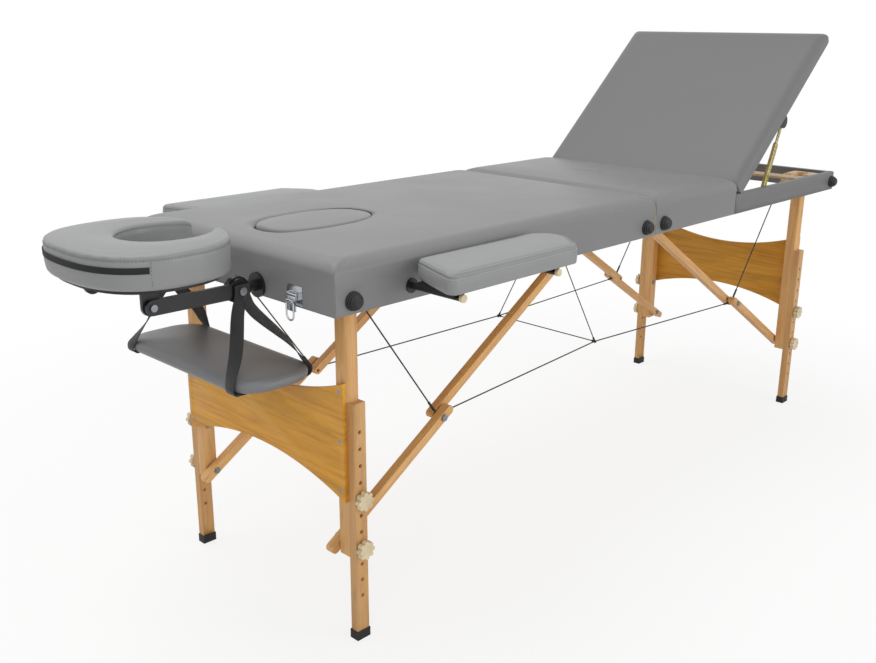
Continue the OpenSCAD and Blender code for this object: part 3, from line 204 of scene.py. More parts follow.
def vinyl(name, colour, wrinkle=1.0):
    """PU-coated vinyl over foam: a satin skin with a fine pebbled grain and soft hand marks.

    The real pebbles are about 0.8 mm; they are drawn at 2 mm so that they show."""
    material, tree, shader, place = start(name)
    grain = add(tree, "ShaderNodeTexVoronoi", {"Vector": place}, {"Scale": 480.0, "Randomness": 1.0},
                feature="SMOOTH_F1")
    pores = add(tree, "ShaderNodeTexNoise", {"Vector": place}, {"Scale": 900.0, "Detail": 2.0})
    cloud = add(tree, "ShaderNodeTexNoise", {"Vector": place},
                {"Scale": 5.5, "Detail": 4.0, "Roughness": 0.55})
    wave = add(tree, "ShaderNodeTexNoise", {"Vector": place},
               {"Scale": 9.0, "Detail": 2.0, "Distortion": 0.6})
    tone = ramp(tree, cloud.outputs[0], [(0.30, shade(colour, 0.965)), (0.5, colour),
                                         (0.72, shade(colour, 1.03))])
    speck = add(tree, "ShaderNodeMix", {0: pores.outputs[0], 6: tone},
                {7: linear(shade(colour, 0.97))}, data_type="RGBA", blend_type="MIX")
    gloss = add(tree, "ShaderNodeMapRange", {0: cloud.outputs[0]},
                {1: 0.3, 2: 0.7, 3: 0.40, 4: 0.50})
    soft = bump(tree, wave.outputs[0], 0.22 * wrinkle, 0.004)
    fine = bump(tree, grain.outputs[0], 0.16, 0.0006, soft)
    wire(tree, shader, {"Base Color": speck.outputs[2], "Roughness": gloss.outputs[0], "Normal": fine},
         {"IOR": 1.5, "Coat Weight": 0.06, "Coat Roughness": 0.28})
    return material


def beech(name, colour, along, turn=0.0):
    """Steamed beech, planed and lacquered: tan with fine fibres along the piece and short dark flecks.

    along names the axis that the fibres follow; turn tilts it in the XZ plane, for the struts."""
    material, tree, shader, place = start(name)
    rotation = {"x": (0.0, turn, 0.0), "y": (0.0, 0.0, math.pi / 2), "z": (0.0, math.pi / 2, 0.0)}[along]
    turned = add(tree, "ShaderNodeMapping", {0: place}, {"Rotation": rotation}).outputs[0]
    fibre_place = add(tree, "ShaderNodeMapping", {0: turned}, {"Scale": (2.2, 34.0, 34.0)}).outputs[0]
    fibre = add(tree, "ShaderNodeTexNoise", {"Vector": fibre_place},
                {"Scale": 4.2, "Detail": 8.0, "Roughness": 0.62, "Distortion": 0.5})
    fleck_place = add(tree, "ShaderNodeMapping", {0: turned}, {"Scale": (90.0, 900.0, 900.0)}).outputs[0]
    fleck = add(tree, "ShaderNodeTexVoronoi", {"Vector": fleck_place}, {"Scale": 1.0})
    broad_place = add(tree, "ShaderNodeMapping", {0: turned}, {"Scale": (1.5, 9.0, 9.0)}).outputs[0]
    broad = add(tree, "ShaderNodeTexNoise", {"Vector": broad_place}, {"Scale": 3.0, "Detail": 3.0})
    base = ramp(tree, fibre.outputs[0], [(0.28, shade(colour, 0.84)), (0.44, shade(colour, 0.96)),
                                         (0.58, colour), (0.75, shade(colour, 1.08))])
    wide = ramp(tree, broad.outputs[0], [(0.3, "#ecdcc8"), (0.7, "#ffffff")])
    tint = add(tree, "ShaderNodeMix", {6: base, 7: wide}, {0: 0.7}, data_type="RGBA",
               blend_type="MULTIPLY")
    dash = add(tree, "ShaderNodeMapRange", {0: fleck.outputs[0]}, {1: 0.05, 2: 0.22, 3: 0.35, 4: 0.0})
    dark = add(tree, "ShaderNodeMix", {0: dash.outputs[0], 6: tint.outputs[2]},
               {7: linear(shade(colour, 0.62))}, data_type="RGBA")
    gloss = add(tree, "ShaderNodeMapRange", {0: fibre.outputs[0]}, {3: 0.36, 4: 0.56})
    wire(tree, shader, {"Base Color": dark.outputs[2], "Roughness": gloss.outputs[0],
                        "Normal": bump(tree, fibre.outputs[0], 0.22, 0.0006)},
         {"Coat Weight": 0.12, "Coat Roughness": 0.3})
    return material


def streaked_panel(name, colour):
    """Lacquered rotary-cut plywood: golden, with fine brown streaks and pores along Y and faint
    wavy bands."""
    material, tree, shader, place = start(name)
    stretched = add(tree, "ShaderNodeMapping", {0: place}, {"Scale": (8.0, 1.0, 9.0)}).outputs[0]
    swirl = add(tree, "ShaderNodeTexNoise", {"Vector": stretched}, {"Scale": 1.6, "Detail": 2.0})
    rings = add(tree, "ShaderNodeTexNoise", {"Vector": stretched},
                {"Scale": 4.6, "Detail": 5.0, "Roughness": 0.6, "Distortion": 1.4})
    fine_place = add(tree, "ShaderNodeMapping", {0: place}, {"Scale": (60.0, 5.0, 210.0)}).outputs[0]
    fine = add(tree, "ShaderNodeTexNoise", {"Vector": fine_place},
               {"Scale": 1.0, "Detail": 6.0, "Roughness": 0.7})
    pore_place = add(tree, "ShaderNodeMapping", {0: place}, {"Scale": (900.0, 45.0, 900.0)}).outputs[0]
    pores = add(tree, "ShaderNodeTexVoronoi", {"Vector": pore_place}, {"Scale": 1.0})
    base = ramp(tree, rings.outputs[0], [(0.30, shade(colour, 0.86)), (0.45, shade(colour, 0.96)),
                                         (0.6, colour), (0.75, shade(colour, 1.05))])
    streak = ramp(tree, fine.outputs[0], [(0.33, "#d9b27c"), (0.52, "#ffffff")])
    mixed = add(tree, "ShaderNodeMix", {6: base, 7: streak}, {0: 0.6}, data_type="RGBA",
                blend_type="MULTIPLY")
    cloud = ramp(tree, swirl.outputs[0], [(0.35, "#f0dfc2"), (0.62, "#ffffff")])
    whole = add(tree, "ShaderNodeMix", {6: mixed.outputs[2], 7: cloud}, {0: 0.6}, data_type="RGBA",
                blend_type="MULTIPLY")
    dash = add(tree, "ShaderNodeMapRange", {0: pores.outputs[0]}, {1: 0.05, 2: 0.2, 3: 0.4, 4: 0.0})
    dark = add(tree, "ShaderNodeMix", {0: dash.outputs[0], 6: whole.outputs[2]},
               {7: linear(shade(colour, 0.6))}, data_type="RGBA")
    relief = bump(tree, fine.outputs[0], 0.15, 0.0004)
    wire(tree, shader, {"Base Color": dark.outputs[2], "Normal": relief},
         {"Roughness": 0.42, "Specular IOR Level": 0.3, "Coat Weight": 0.06, "Coat Roughness": 0.3})
    return material


def moulded(name, colour, rough=0.38, grit=700.0):
    """Moulded plastic or rubber: even colour, slightly worn sheen and a fine spark texture."""
    material, tree, shader, place = start(name)
    dust = add(tree, "ShaderNodeTexNoise", {"Vector": place}, {"Scale": 38.0, "Detail": 5.0})
    tone = ramp(tree, dust.outputs[0], [(0.3, shade(colour, 0.9)), (0.7, shade(colour, 1.08))])
    sheen = add(tree, "ShaderNodeMapRange", {0: dust.outputs[0]}, {3: rough - 0.07, 4: rough + 0.1})
    spark = add(tree, "ShaderNodeTexNoise", {"Vector": place}, {"Scale": grit, "Detail": 2.0})
    wire(tree, shader, {"Base Color": tone, "Roughness": sheen.outputs[0],
                        "Normal": bump(tree, spark.outputs[0], 0.12, 0.0004)})
    return material


def metal(name, colour, rough, brushed=0.0, patches=None):
    """Plated or brushed steel: roughness and tone vary along fine marks; patches tint the plating."""
    material, tree, shader, place = start(name)
    stretched = add(tree, "ShaderNodeMapping", {0: place}, {"Scale": (40.0, 600.0, 600.0)}).outputs[0]
    marks = add(tree, "ShaderNodeTexNoise", {"Vector": stretched}, {"Scale": 1.0, "Detail": 4.0})
    cloud = add(tree, "ShaderNodeTexNoise", {"Vector": place}, {"Scale": 55.0, "Detail": 3.0})
    stops = patches or [(0.3, shade(colour, 0.92)), (0.7, shade(colour, 1.05))]
    spread = add(tree, "ShaderNodeMapRange", {0: marks.outputs[0]},
                 {3: max(rough - 0.08, 0.02), 4: rough + 0.1})
    wire(tree, shader, {"Base Color": ramp(tree, cloud.outputs[0], stops), "Roughness": spread.outputs[0],
                        "Normal": bump(tree, marks.outputs[0], brushed, 0.0003)}, {"Metallic": 1.0})
    return material


def webbing(name, colour):
    """Woven polyester webbing: a 1.6 mm basket weave across the band, read from its own UV map in mm, its
    colour painted darker in the weave's hollows and lighter on its raised threads: painted shade and painted
    highlight.
    """
    material, tree, shader, _ = start(name)
    place = add(tree, "ShaderNodeUVMap", uv_map="UVMap").outputs[0]
    warp = add(tree, "ShaderNodeTexWave", {"Vector": place}, {"Scale": 0.32, "Distortion": 0.0},
               bands_direction="X")
    weft = add(tree, "ShaderNodeTexWave", {"Vector": place}, {"Scale": 0.26, "Distortion": 0.0},
               bands_direction="Y")
    weave = add(tree, "ShaderNodeMath", {0: warp.outputs[0], 1: weft.outputs[0]}, operation="MULTIPLY")
    # Painted shade in the weave's hollows and painted highlight on its raised threads, following the bump's
    # height
    tone = ramp(tree, weave.outputs[0], [(0.0, shade(colour, 0.7)), (0.6, colour),
                                         (1.0, shade(colour, 1.5))])
    wire(tree, shader, {"Base Color": tone, "Normal": bump(tree, weave.outputs[0], 0.7, 0.0008)},
         {"Roughness": 0.7, "Sheen Weight": 0.25})
    return material


def thread(name, colour):
    """Bonded polyester sewing thread, slightly glossy."""
    material, tree, shader, place = start(name)
    twist = add(tree, "ShaderNodeTexNoise", {"Vector": place}, {"Scale": 1600.0, "Detail": 2.0})
    tone = ramp(tree, twist.outputs[0], [(0.3, shade(colour, 0.85)), (0.7, shade(colour, 1.1))])
    wire(tree, shader, {"Base Color": tone}, {"Roughness": 0.5})
    return material


MATERIALS = {}


def make_materials():
    """Makes each material from its function and the values that follow its name."""
    c = colours()
    slope = math.radians(32.2)
    zinc = [(0.25, "#b9b77a"), (0.45, "#d6cf98"), (0.6, "#e4dfb8"), (0.75, "#cbb987")]
    table = {
        "vinyl_top": (vinyl, c.vinyl),
        # The backrest's vinyl is the top's vinyl darkened to 0.88: painted shade that holds the tilted
        # backrest darker than the lamps light it
        "vinyl_back": (vinyl, shade(c.vinyl, 0.88)),
        # Pillow and armrest vinyl, lighter than the top's: a painted highlight
        "vinyl_pillow": (vinyl, c.vinyl_pillow),
        "vinyl_sling": (vinyl, c.vinyl_sling),
        # The rail covers' vinyl is the top's vinyl darkened to 0.86: painted shade on the cushions' sides
        "vinyl_rail": (vinyl, shade(c.vinyl, 0.86), 0.5),
        "beech_upright": (beech, c.beech, "z"),
        "beech_extension": (beech, shade(c.beech, 0.94), "z"),
        "beech_head_strut": (beech, shade(c.beech, 1.02), "x", slope),
        "beech_foot_strut": (beech, shade(c.beech, 0.98), "x", -slope),
        "beech_block": (beech, "#f0d3a4", "x"),
        "birch": (beech, "#cdb083", "x"),
        "birch_board": (beech, "#b99c72", "y"),
        "panel_head": (streaked_panel, c.pine),
        "panel_foot": (streaked_panel, shade(c.pine, 0.95)),
        "black_nylon": (moulded, "#17181a", 0.36),
        "black_rubber": (moulded, "#141416", 0.5),
        "black_paint": (moulded, "#1a1b1d", 0.3, 400.0),
        "cream_nylon": (moulded, "#dccba6", 0.32),
        "chrome": (metal, "#cfd2d6", 0.14),
        "steel": (metal, "#93969b", 0.34, 0.15),
        "yellow_zinc": (metal, "#d2cc96", 0.36, 0.1, zinc),
        "cable": (moulded, "#131315", 0.42),
        "webbing": (webbing, "#1d1e21"),
        "hook_tape": (moulded, "#121214", 0.75, 350.0),
        "thread_light": (thread, "#b9babb"),
        "thread_dark": (thread, "#6f7072"),
    }
    for name, (make, *given) in table.items():
        MATERIALS[name] = make(name, *given)


# Meshes

def link(name, data):
    """A new object in the scene's collection, at the origin."""
    item = bpy.data.objects.new(name, data)
    bpy.context.scene.collection.objects.link(item)
    return item


def coords(mesh):
    """A mesh's vertices as rows of x, y and z."""
    co = np.zeros(len(mesh.vertices) * 3)
    mesh.vertices.foreach_get("co", co)
    return co.reshape(-1, 3)


def raised(flat, z):
    """Points in plan with a height, one for all or one for each."""
    return np.column_stack([flat, np.full(len(flat), z)])


def unit(rows):
    """Rows scaled to length 1."""
    return rows / np.linalg.norm(rows, axis=1)[:, None]


def run_of(path):
    """Distance along a path at each of its points."""
    return np.concatenate([[0], np.cumsum(np.linalg.norm(np.diff(path, axis=0), axis=1))])


def new_object(name, vertices, faces, material, uv=None):
    """An object at the origin from arrays of vertices and faces; uv holds one pair for each vertex."""
    mesh = bpy.data.meshes.new(name)
    mesh.from_pydata(np.asarray(vertices, float).tolist(), [], faces)
    mesh.update()
    mesh.polygons.foreach_set("use_smooth", np.ones(len(mesh.polygons), bool))
    if uv is not None:
        index = np.zeros(len(mesh.loops), np.int32)
        mesh.loops.foreach_get("vertex_index", index)
        layer = mesh.uv_layers.new(name="UVMap")
        layer.data.foreach_set("uv", np.asarray(uv, float)[index].ravel())
    mesh.materials.append(MATERIALS[material])
    return link(name, mesh)


def grid_faces(rows, cols, wrap_rows, wrap_cols):
    """Quads over a grid of rows by cols vertices, closed across either edge if asked."""
    r = np.arange(rows if wrap_rows else rows - 1)
    c = np.arange(cols if wrap_cols else cols - 1)
    r, c = np.meshgrid(r, c, indexing="ij")
    up, right = (r + 1) % rows, (c + 1) % cols
    quads = np.stack([r * cols + c, r * cols + right, up * cols + right, up * cols + c], -1)
    return quads.reshape(-1, 4).tolist()


def skin(name, rings, material, wrap_rows=False, wrap_cols=True, uv=None, flip=False):
    """A surface over rings, an array of rows by columns by 3. Open ends are closed with a fan
    to the middle of the end ring, unless the rows wrap round."""
    rings = np.asarray(rings, float)
    rows, cols, _ = rings.shape
    points = rings.reshape(-1, 3)
    faces = grid_faces(rows, cols, wrap_rows, wrap_cols)
    if not wrap_rows and wrap_cols:
        middle = np.array([rings[0].mean(0), rings[-1].mean(0)])
        n = len(points)
        points = np.concatenate([points, middle])
        k = np.arange(cols)
        faces += np.stack([np.full(cols, n), (k + 1) % cols, k], -1).tolist()
        last = (rows - 1) * cols
        faces += np.stack([np.full(cols, n + 1), last + k, last + (k + 1) % cols], -1).tolist()
        if uv is not None:
            uv = np.concatenate([uv.reshape(-1, 2), uv[0].mean(0)[None], uv[-1].mean(0)[None]])
    elif uv is not None:
        uv = uv.reshape(-1, 2)
    if flip:
        faces = [f[::-1] for f in faces]
    return new_object(name, points, faces, material, uv)


def merge(name, items):
    """Several mesh objects as one, with all their materials."""
    vertices, faces, slots, materials, uvs, smooth = [], [], [], [], [], []
    has_uv = any(i.data.uv_layers for i in items)
    first = 0
    for item in items:
        mesh = item.data
        vertices.append(coords(mesh))
        for p in mesh.polygons:
            faces.append([v + first for v in p.vertices])
            smooth.append(p.use_smooth)
            m = mesh.materials[p.material_index]
            if m not in materials:
                materials.append(m)
            slots.append(materials.index(m))
        if has_uv:
            layer = np.zeros(len(mesh.loops) * 2)
            if mesh.uv_layers:
                mesh.uv_layers[0].data.foreach_get("uv", layer)
            uvs.append(layer)
        first += len(mesh.vertices)
        bpy.data.objects.remove(item)
    joined = bpy.data.meshes.new(name)
    joined.from_pydata(np.concatenate(vertices).tolist(), [], faces)
    joined.update()
    for m in materials:
        joined.materials.append(m)
    joined.polygons.foreach_set("material_index", np.array(slots, np.int32))
    joined.polygons.foreach_set("use_smooth", np.array(smooth, bool))
    if has_uv:
        joined.uv_layers.new(name="UVMap").data.foreach_set("uv", np.concatenate(uvs))
    return link(name, joined)


def mirrored(item, name):
    """A copy of a mesh object on the other side of the table, its faces turned back outwards."""
    mesh = item.data.copy()
    mesh.vertices.foreach_set("co", (coords(mesh) * [1, -1, 1]).ravel())
    mesh.flip_normals()
    mesh.update()
    return link(name, mesh)


def softened(node, name, material, width, segments):
    """A CAD node's mesh with its doubles merged, flat faces joined and edges rounded."""
    mesh = NODES[node].data.copy()
    mesh.name = name
    item = link(name, mesh)
    bm = bmesh.new()
    bm.from_mesh(mesh)
    bmesh.ops.remove_doubles(bm, verts=bm.verts, dist=1e-6)
    bmesh.ops.dissolve_limit(bm, angle_limit=math.radians(1.0), verts=bm.verts, edges=bm.edges,
                             use_dissolve_boundaries=False)
    for f in bm.faces:
        f.smooth = True
    bm.to_mesh(mesh)
    bm.free()
    mesh.materials.clear()
    mesh.materials.append(MATERIALS[material])
    rounding = item.modifiers.new("edges", "BEVEL")
    rounding.width = width
    rounding.segments = segments
    rounding.limit_method = "ANGLE"
    rounding.angle_limit = math.radians(32)
    rounding.harden_normals = True
    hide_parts(node)
    return item


def dress(node, material):
    """Gives a CAD node's own object a material."""
    slots = NODES[node].data.materials
    slots.clear()
    slots.append(MATERIALS[material])


def accent(node, material, inside):
    """Gives a CAD node a second material on the faces whose centres pass a test."""
    mesh = NODES[node].data
    mesh.materials.append(MATERIALS[material])
    centre = np.zeros(len(mesh.polygons) * 3)
    mesh.polygons.foreach_get("center", centre)
    chosen = inside(centre.reshape(-1, 3))
    mesh.polygons.foreach_set("material_index", chosen.astype(np.int32))
    mesh.update()


def near_axis(x, z, radius, beyond):
    """A test for points near an axis along Y and further out than a distance from the middle."""
    return lambda c: (np.hypot(c[:, 0] - x, c[:, 2] - z) < radius) & (np.abs(c[:, 1]) > beyond)


def loop_round(corners, inset, radius, edges, turn=8):
    """A ring round a polygon with counter-clockwise corners, drawn in by inset: each corner is an
    arc of the given radius, followed by evenly spaced points on the edge that leaves it. Returns
    the points and their outward directions; each ring of a polygon has the same count."""
    corners = np.asarray(corners, float)
    ahead = unit(np.roll(corners, -1, 0) - corners)
    after = np.stack([ahead[:, 1], -ahead[:, 0]], 1)
    before = np.roll(after, 1, 0)
    centre = corners - (inset + radius) * (before + after) / (1 + (before * after).sum(1))[:, None]
    first = np.arctan2(before[:, 1], before[:, 0])
    swing = (np.arctan2(after[:, 1], after[:, 0]) - first) % (2 * math.pi)
    angle = first[:, None] + swing[:, None] * np.linspace(0, 1, turn + 1)
    way = np.stack([np.cos(angle), np.sin(angle)], -1)
    curve = centre[:, None] + radius * way
    points, ways = [], []
    for i, count in enumerate(edges):
        share = (np.arange(1, count) / count)[:, None]
        points += [curve[i], curve[i, -1] + share * (curve[(i + 1) % len(edges), 0] - curve[i, -1])]
        ways += [way[i], np.tile(after[i], (count - 1, 1))]
    return np.concatenate(points), np.concatenate(ways)


def seam_mask(edges, turn=8):
    """1 for the middle point of each corner's arc in a ring from loop_round, else 0."""
    starts = np.concatenate([[0], np.cumsum([turn + c for c in edges])[:-1]])
    mask = np.zeros(int(sum(turn + c for c in edges)))
    mask[starts + turn // 2] = 1.0
    return mask


def box_corners(x0, x1, y0, y1):
    """Corners of a rectangle, counter-clockwise."""
    return np.array([[x0, y0], [x1, y0], [x1, y1], [x0, y1]])


def super_round(v):
    """A sine or cosine raised to 0.8 with its sign kept, for outlines fuller than an ellipse."""
    return np.sign(v) * np.abs(v) ** 0.8


def sweep(name, path, section, material, normals=None):
    """A section (n by 2, across and out) carried along a path with the given out directions. Its
    UV map is in millimetres, across the section and along the path."""
    path = np.asarray(path, float)
    along = unit(np.gradient(path, axis=0))
    if normals is None:
        ref = np.array([0.0, 0.0, 1.0]) if abs(along[0, 2]) < 0.9 else np.array([1.0, 0.0, 0.0])
        normals = np.cross(np.cross(along, ref), along)
    normals = np.asarray(normals, float)
    normals = unit(normals - (normals * along).sum(1)[:, None] * along)
    across = np.cross(along, normals)
    rings = (path[:, None, :] + section[None, :, :1] * across[:, None, :]
             + section[None, :, 1:2] * normals[:, None, :])
    u, v = np.meshgrid(run_of(section) * 1000, run_of(path) * 1000)
    return skin(name, rings, material, uv=np.stack([u, v], -1))


def round_section(radius, count):
    """A round cable's section."""
    a = np.arange(count) / count * 2 * math.pi
    return np.stack([radius * np.cos(a), radius * np.sin(a)], 1)


def band_section(width, thick, count=3):
    """A flat band's section with rounded edges, counter-clockwise."""
    a = np.linspace(-math.pi / 2, math.pi / 2, count + 2)
    right = np.stack([width / 2 - thick / 2 + thick / 2 * np.cos(a), thick / 2 * np.sin(a)], 1)
    return np.concatenate([right, -right])


def smooth_path(points, count):
    """A Catmull-Rom curve through the points, evenly divided by its parameter."""
    p = np.asarray(points, float)
    q = np.concatenate([[2 * p[0] - p[1]], p, [2 * p[-1] - p[-2]]])
    s = np.linspace(0, len(p) - 1, count)
    k = np.clip(s.astype(int), 0, len(p) - 2)
    t = (s - k)[:, None]
    a, b, c, d = q[k], q[k + 1], q[k + 2], q[k + 3]
    return 0.5 * (2 * b + (c - a) * t + (2 * a - 5 * b + 4 * c - d) * t ** 2
                  + (3 * b - a - 3 * c + d) * t ** 3)


def along_rows(at, run, rows):
    """Rows of values read off at distances along a path."""
    return np.stack([np.interp(at, run, rows[:, k]) for k in range(3)], 1)


def stitches(name, path, out, material, radius=0.00045):
    """A row of stitches on a path: each is a low spindle of six sides lying along it, sunk into
    the vinyl, and takes 62 % of the pitch."""
    pitch, sink = sizes().stitch_pitch, 0.35
    run = run_of(path)
    count = max(int(run[-1] / pitch), 2)
    s = (np.arange(count) + 0.5) / count * run[-1]
    at, normal = along_rows(s, run, path), along_rows(s, run, out)
    along = unit(along_rows(s + pitch * 0.3, run, path) - along_rows(s - pitch * 0.3, run, path))
    normal = unit(normal - (normal * along).sum(1)[:, None] * along)
    across = np.cross(along, normal)
    half = pitch * 0.62 / 2
    places = np.array([-1.0, -0.72, 0.0, 0.72, 1.0]) * half
    fat = np.array([0.15, 0.8, 1.0, 0.8, 0.15]) * radius
    lift = np.array([-1.0, -0.1, 0.25, -0.1, -1.0]) * radius
    a = np.arange(6) / 6 * 2 * math.pi
    ring = (at[:, None, None, :] + places[None, :, None, None] * along[:, None, None, :]
            + lift[None, :, None, None] * normal[:, None, None, :]
            + (fat[:, None] * np.cos(a))[None, :, :, None] * across[:, None, None, :]
            + (fat[:, None] * np.sin(a))[None, :, :, None] * normal[:, None, None, :])
    ring += sink * radius * normal[:, None, None, :]
    vertices = ring.reshape(-1, 3)
    one = np.array(grid_faces(5, 6, False, True))
    quads = (one[None] + 30 * np.arange(count)[:, None, None]).reshape(-1, 4).tolist()
    k = 30 * np.arange(count)[:, None]
    caps = ((k + np.arange(6)[::-1]).tolist() + (k + 24 + np.arange(6)).tolist())
    return new_object(name, vertices, quads + caps, material)


def finish_piece(item, body, replaces=()):
    """Gives a piece its body and hides the CAD nodes it stands for."""
    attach(item, body)
    if replaces:
        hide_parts(*replaces)


def plump(item, cap, hold_below):
    """Lets a closed skin swell as foam under tight vinyl does: a short cloth simulation with air
    pressure, each point's move capped. The points below a height stay where they are."""
    mesh = item.data
    before = coords(mesh)
    scene = bpy.context.scene
    scene.gravity = (0.0, 0.0, -9.81)
    cloth = item.modifiers.new("plump", "CLOTH")
    settings = cloth.settings
    settings.quality = 5
    settings.mass = 0.4
    settings.tension_stiffness = settings.compression_stiffness = 12.0
    settings.shear_stiffness = 8.0
    settings.bending_stiffness = 4.0
    settings.use_pressure = True
    settings.uniform_pressure_force = 3.0
    settings.effector_weights.gravity = 0.0
    group = item.vertex_groups.new(name="hold")
    group.add(np.nonzero(before[:, 2] < hold_below)[0].tolist(), 1.0, "REPLACE")
    settings.vertex_group_mass = "hold"
    settings.pin_stiffness = 1.0
    for number in range(1, 15):
        scene.frame_set(number)
    move = coords(item.evaluated_get(bpy.context.evaluated_depsgraph_get()).data) - before
    size = np.linalg.norm(move, axis=1)[:, None]
    move *= np.minimum(1.0, cap / np.maximum(size, 1e-9))
    item.modifiers.remove(cloth)
    item.vertex_groups.clear()
    mesh.vertices.foreach_set("co", (before + move).ravel())
    mesh.update()
    scene.frame_set(1)


def domed(rings, centre, shares, rise, bottom_share):
    """A pad's rings with a low dome drawn inwards from the last one and a small ring below."""
    over, under = rings[-1][:, :2] - centre, rings[0][:, :2] - centre
    top, low = rings[-1][0, 2], rings[0][0, 2]
    dome = [raised(centre + over * k, top + rise * (1 - k ** 2)) for k in shares]
    return [raised(centre + under * bottom_share, low)] + rings + dome


# Upholstery of the top

def wrapped_top(name, u0, u1, mirror, hole=None):
    """Cushion and turned-down cover of one section, as one closed shell.

    Rings follow a profile: up the inside of the cover and round its lower edge, up the box-sewn
    side with a groove at each corner's seam, over a quarter ellipse and across the crowned top."""
    s = sizes()
    edges = (150, 100, 150, 100)
    corners = box_corners(u0, u1, -TOP_W / 2, TOP_W / 2)
    centre = corners.mean(0)
    half = (corners[2] - corners[0]) / 2 - s.shoulder
    seam = seam_mask(edges)
    top, soft = s.top_z - s.crown, s.top_round
    low, ceiling = FRAME_Z + 0.0004, DECK_Z + 0.0003
    rings = []

    def ring(inset, z, radius=0.0035, groove=0.0):
        flat, way = loop_round(corners, inset, radius, edges)
        flat = flat - way * seam[:, None] * groove
        rings.append(raised(flat, z))

    for inset, z in ((COVER * 0.85, ceiling), (COVER * 0.85, (ceiling + low) / 2),
                     (COVER * 0.85, low + 0.0008), (COVER * 0.45, low)):
        ring(inset, z, 0.0012)
    ring(0.0002, low + 0.0006)
    for z in np.linspace(low + 0.004, top - soft, 9):
        full = 0.0011 * math.sin(math.pi * np.clip((z - DECK_Z) / (top - soft - DECK_Z), 0, 1))
        ring(-full, z, 0.0035, 0.0011)
    for t in np.linspace(0, math.pi / 2, 15)[1:]:
        z = top - soft + soft * math.sin(t)
        ring(s.shoulder * (1 - math.cos(t)), z, 0.0035 + 0.020 * math.sin(t) ** 3,
             0.0011 if z < 0.7285 else 0.0)
    edge = rings[-1][:, :2] - centre
    if hole is None:
        rings += [crowned(edge * share, centre, half, top, s.crown)
                  for share in np.linspace(0.97, 0.03, 30)]
        inner = [crowned(edge * k, centre, half, ceiling, 0.0) for k in (0.03, 0.5, 0.94)]
        rings = inner + rings
    else:
        at, a, b = hole
        angle = np.arctan2(edge[:, 1], edge[:, 0] - (at - centre[0]))
        oval = np.stack([a * super_round(np.cos(angle)), b * super_round(np.sin(angle))], 1)
        oval += np.array([at, 0]) - centre
        for t in np.linspace(0, 1, 34)[1:-1]:
            ease = t ** 0.85
            rings.append(crowned(edge * (1 - ease) + oval * 1.05 * ease, centre, half, top, s.crown))
        for grow, drop in ((1.05, 0.0003), (1.03, 0.0010), (1.012, 0.0028), (1.004, 0.0058),
                           (1.0, 0.012)):
            flat = crowned(oval * grow, centre, half, top, s.crown)
            flat[:, 2] -= drop
            rings.append(flat)
        rings = [raised(oval + centre, ceiling)] + rings + [raised(oval + centre, DECK_Z + 0.012)]
    rings = np.array(rings)
    if mirror:
        rings[:, :, 0] = FOOT_X - rings[:, :, 0]
        rings = rings[:, ::-1]
    else:
        rings[:, :, 0] += HEAD_X
    return skin(name, rings, "vinyl_top", wrap_rows=hole is not None)


def crowned(flat, centre, half, top, crown):
    """A ring on the crowned top: the rise is the crown times the product of two quartics, with
    three long, shallow waves where the vinyl lies less tight."""
    x = np.clip(np.abs(flat[:, 0]) / half[0], 0, 1)
    y = np.clip(np.abs(flat[:, 1]) / half[1], 0, 1)
    calm = (1 - x ** 4) * (1 - y ** 4)
    u, v = flat[:, 0] + centre[0], flat[:, 1]
    wave = (np.sin(21 * u + 9 * v) + np.sin(13 * u - 27 * v + 1.3) + 0.6 * np.sin(41 * u + 17 * v)) / 3
    rise = calm * (crown + 0.0007 * wave * (crown > 0))
    return np.stack([u, v, top + rise], 1)


class TABLE_OT_top(bpy.types.Operator):
    """Make the head cushion, the seat cushion and the covers of the rails"""
    bl_idname = "massage_table.top"
    bl_label = "Top upholstery"

    def execute(self, context):
        fold_u = FOLD_X - HEAD_X - 0.00035
        head = wrapped_top("head_upholstery", 0.0, fold_u, False, hole=(PLUG_U, PLUG_A, PLUG_B))
        seat = wrapped_top("seat_upholstery", SEAT_U, fold_u, True)
        for item, half, node in ((head, "head_half", "head_cushion"), (seat, "foot_half", "seat_cushion")):
            plump(item, 0.0012, DECK_Z + 0.004)
            finish_piece(item, half, [node])
        finish_piece(rail_cover(), "foot_half", ["seat_cushion"])
        return {"FINISHED"}


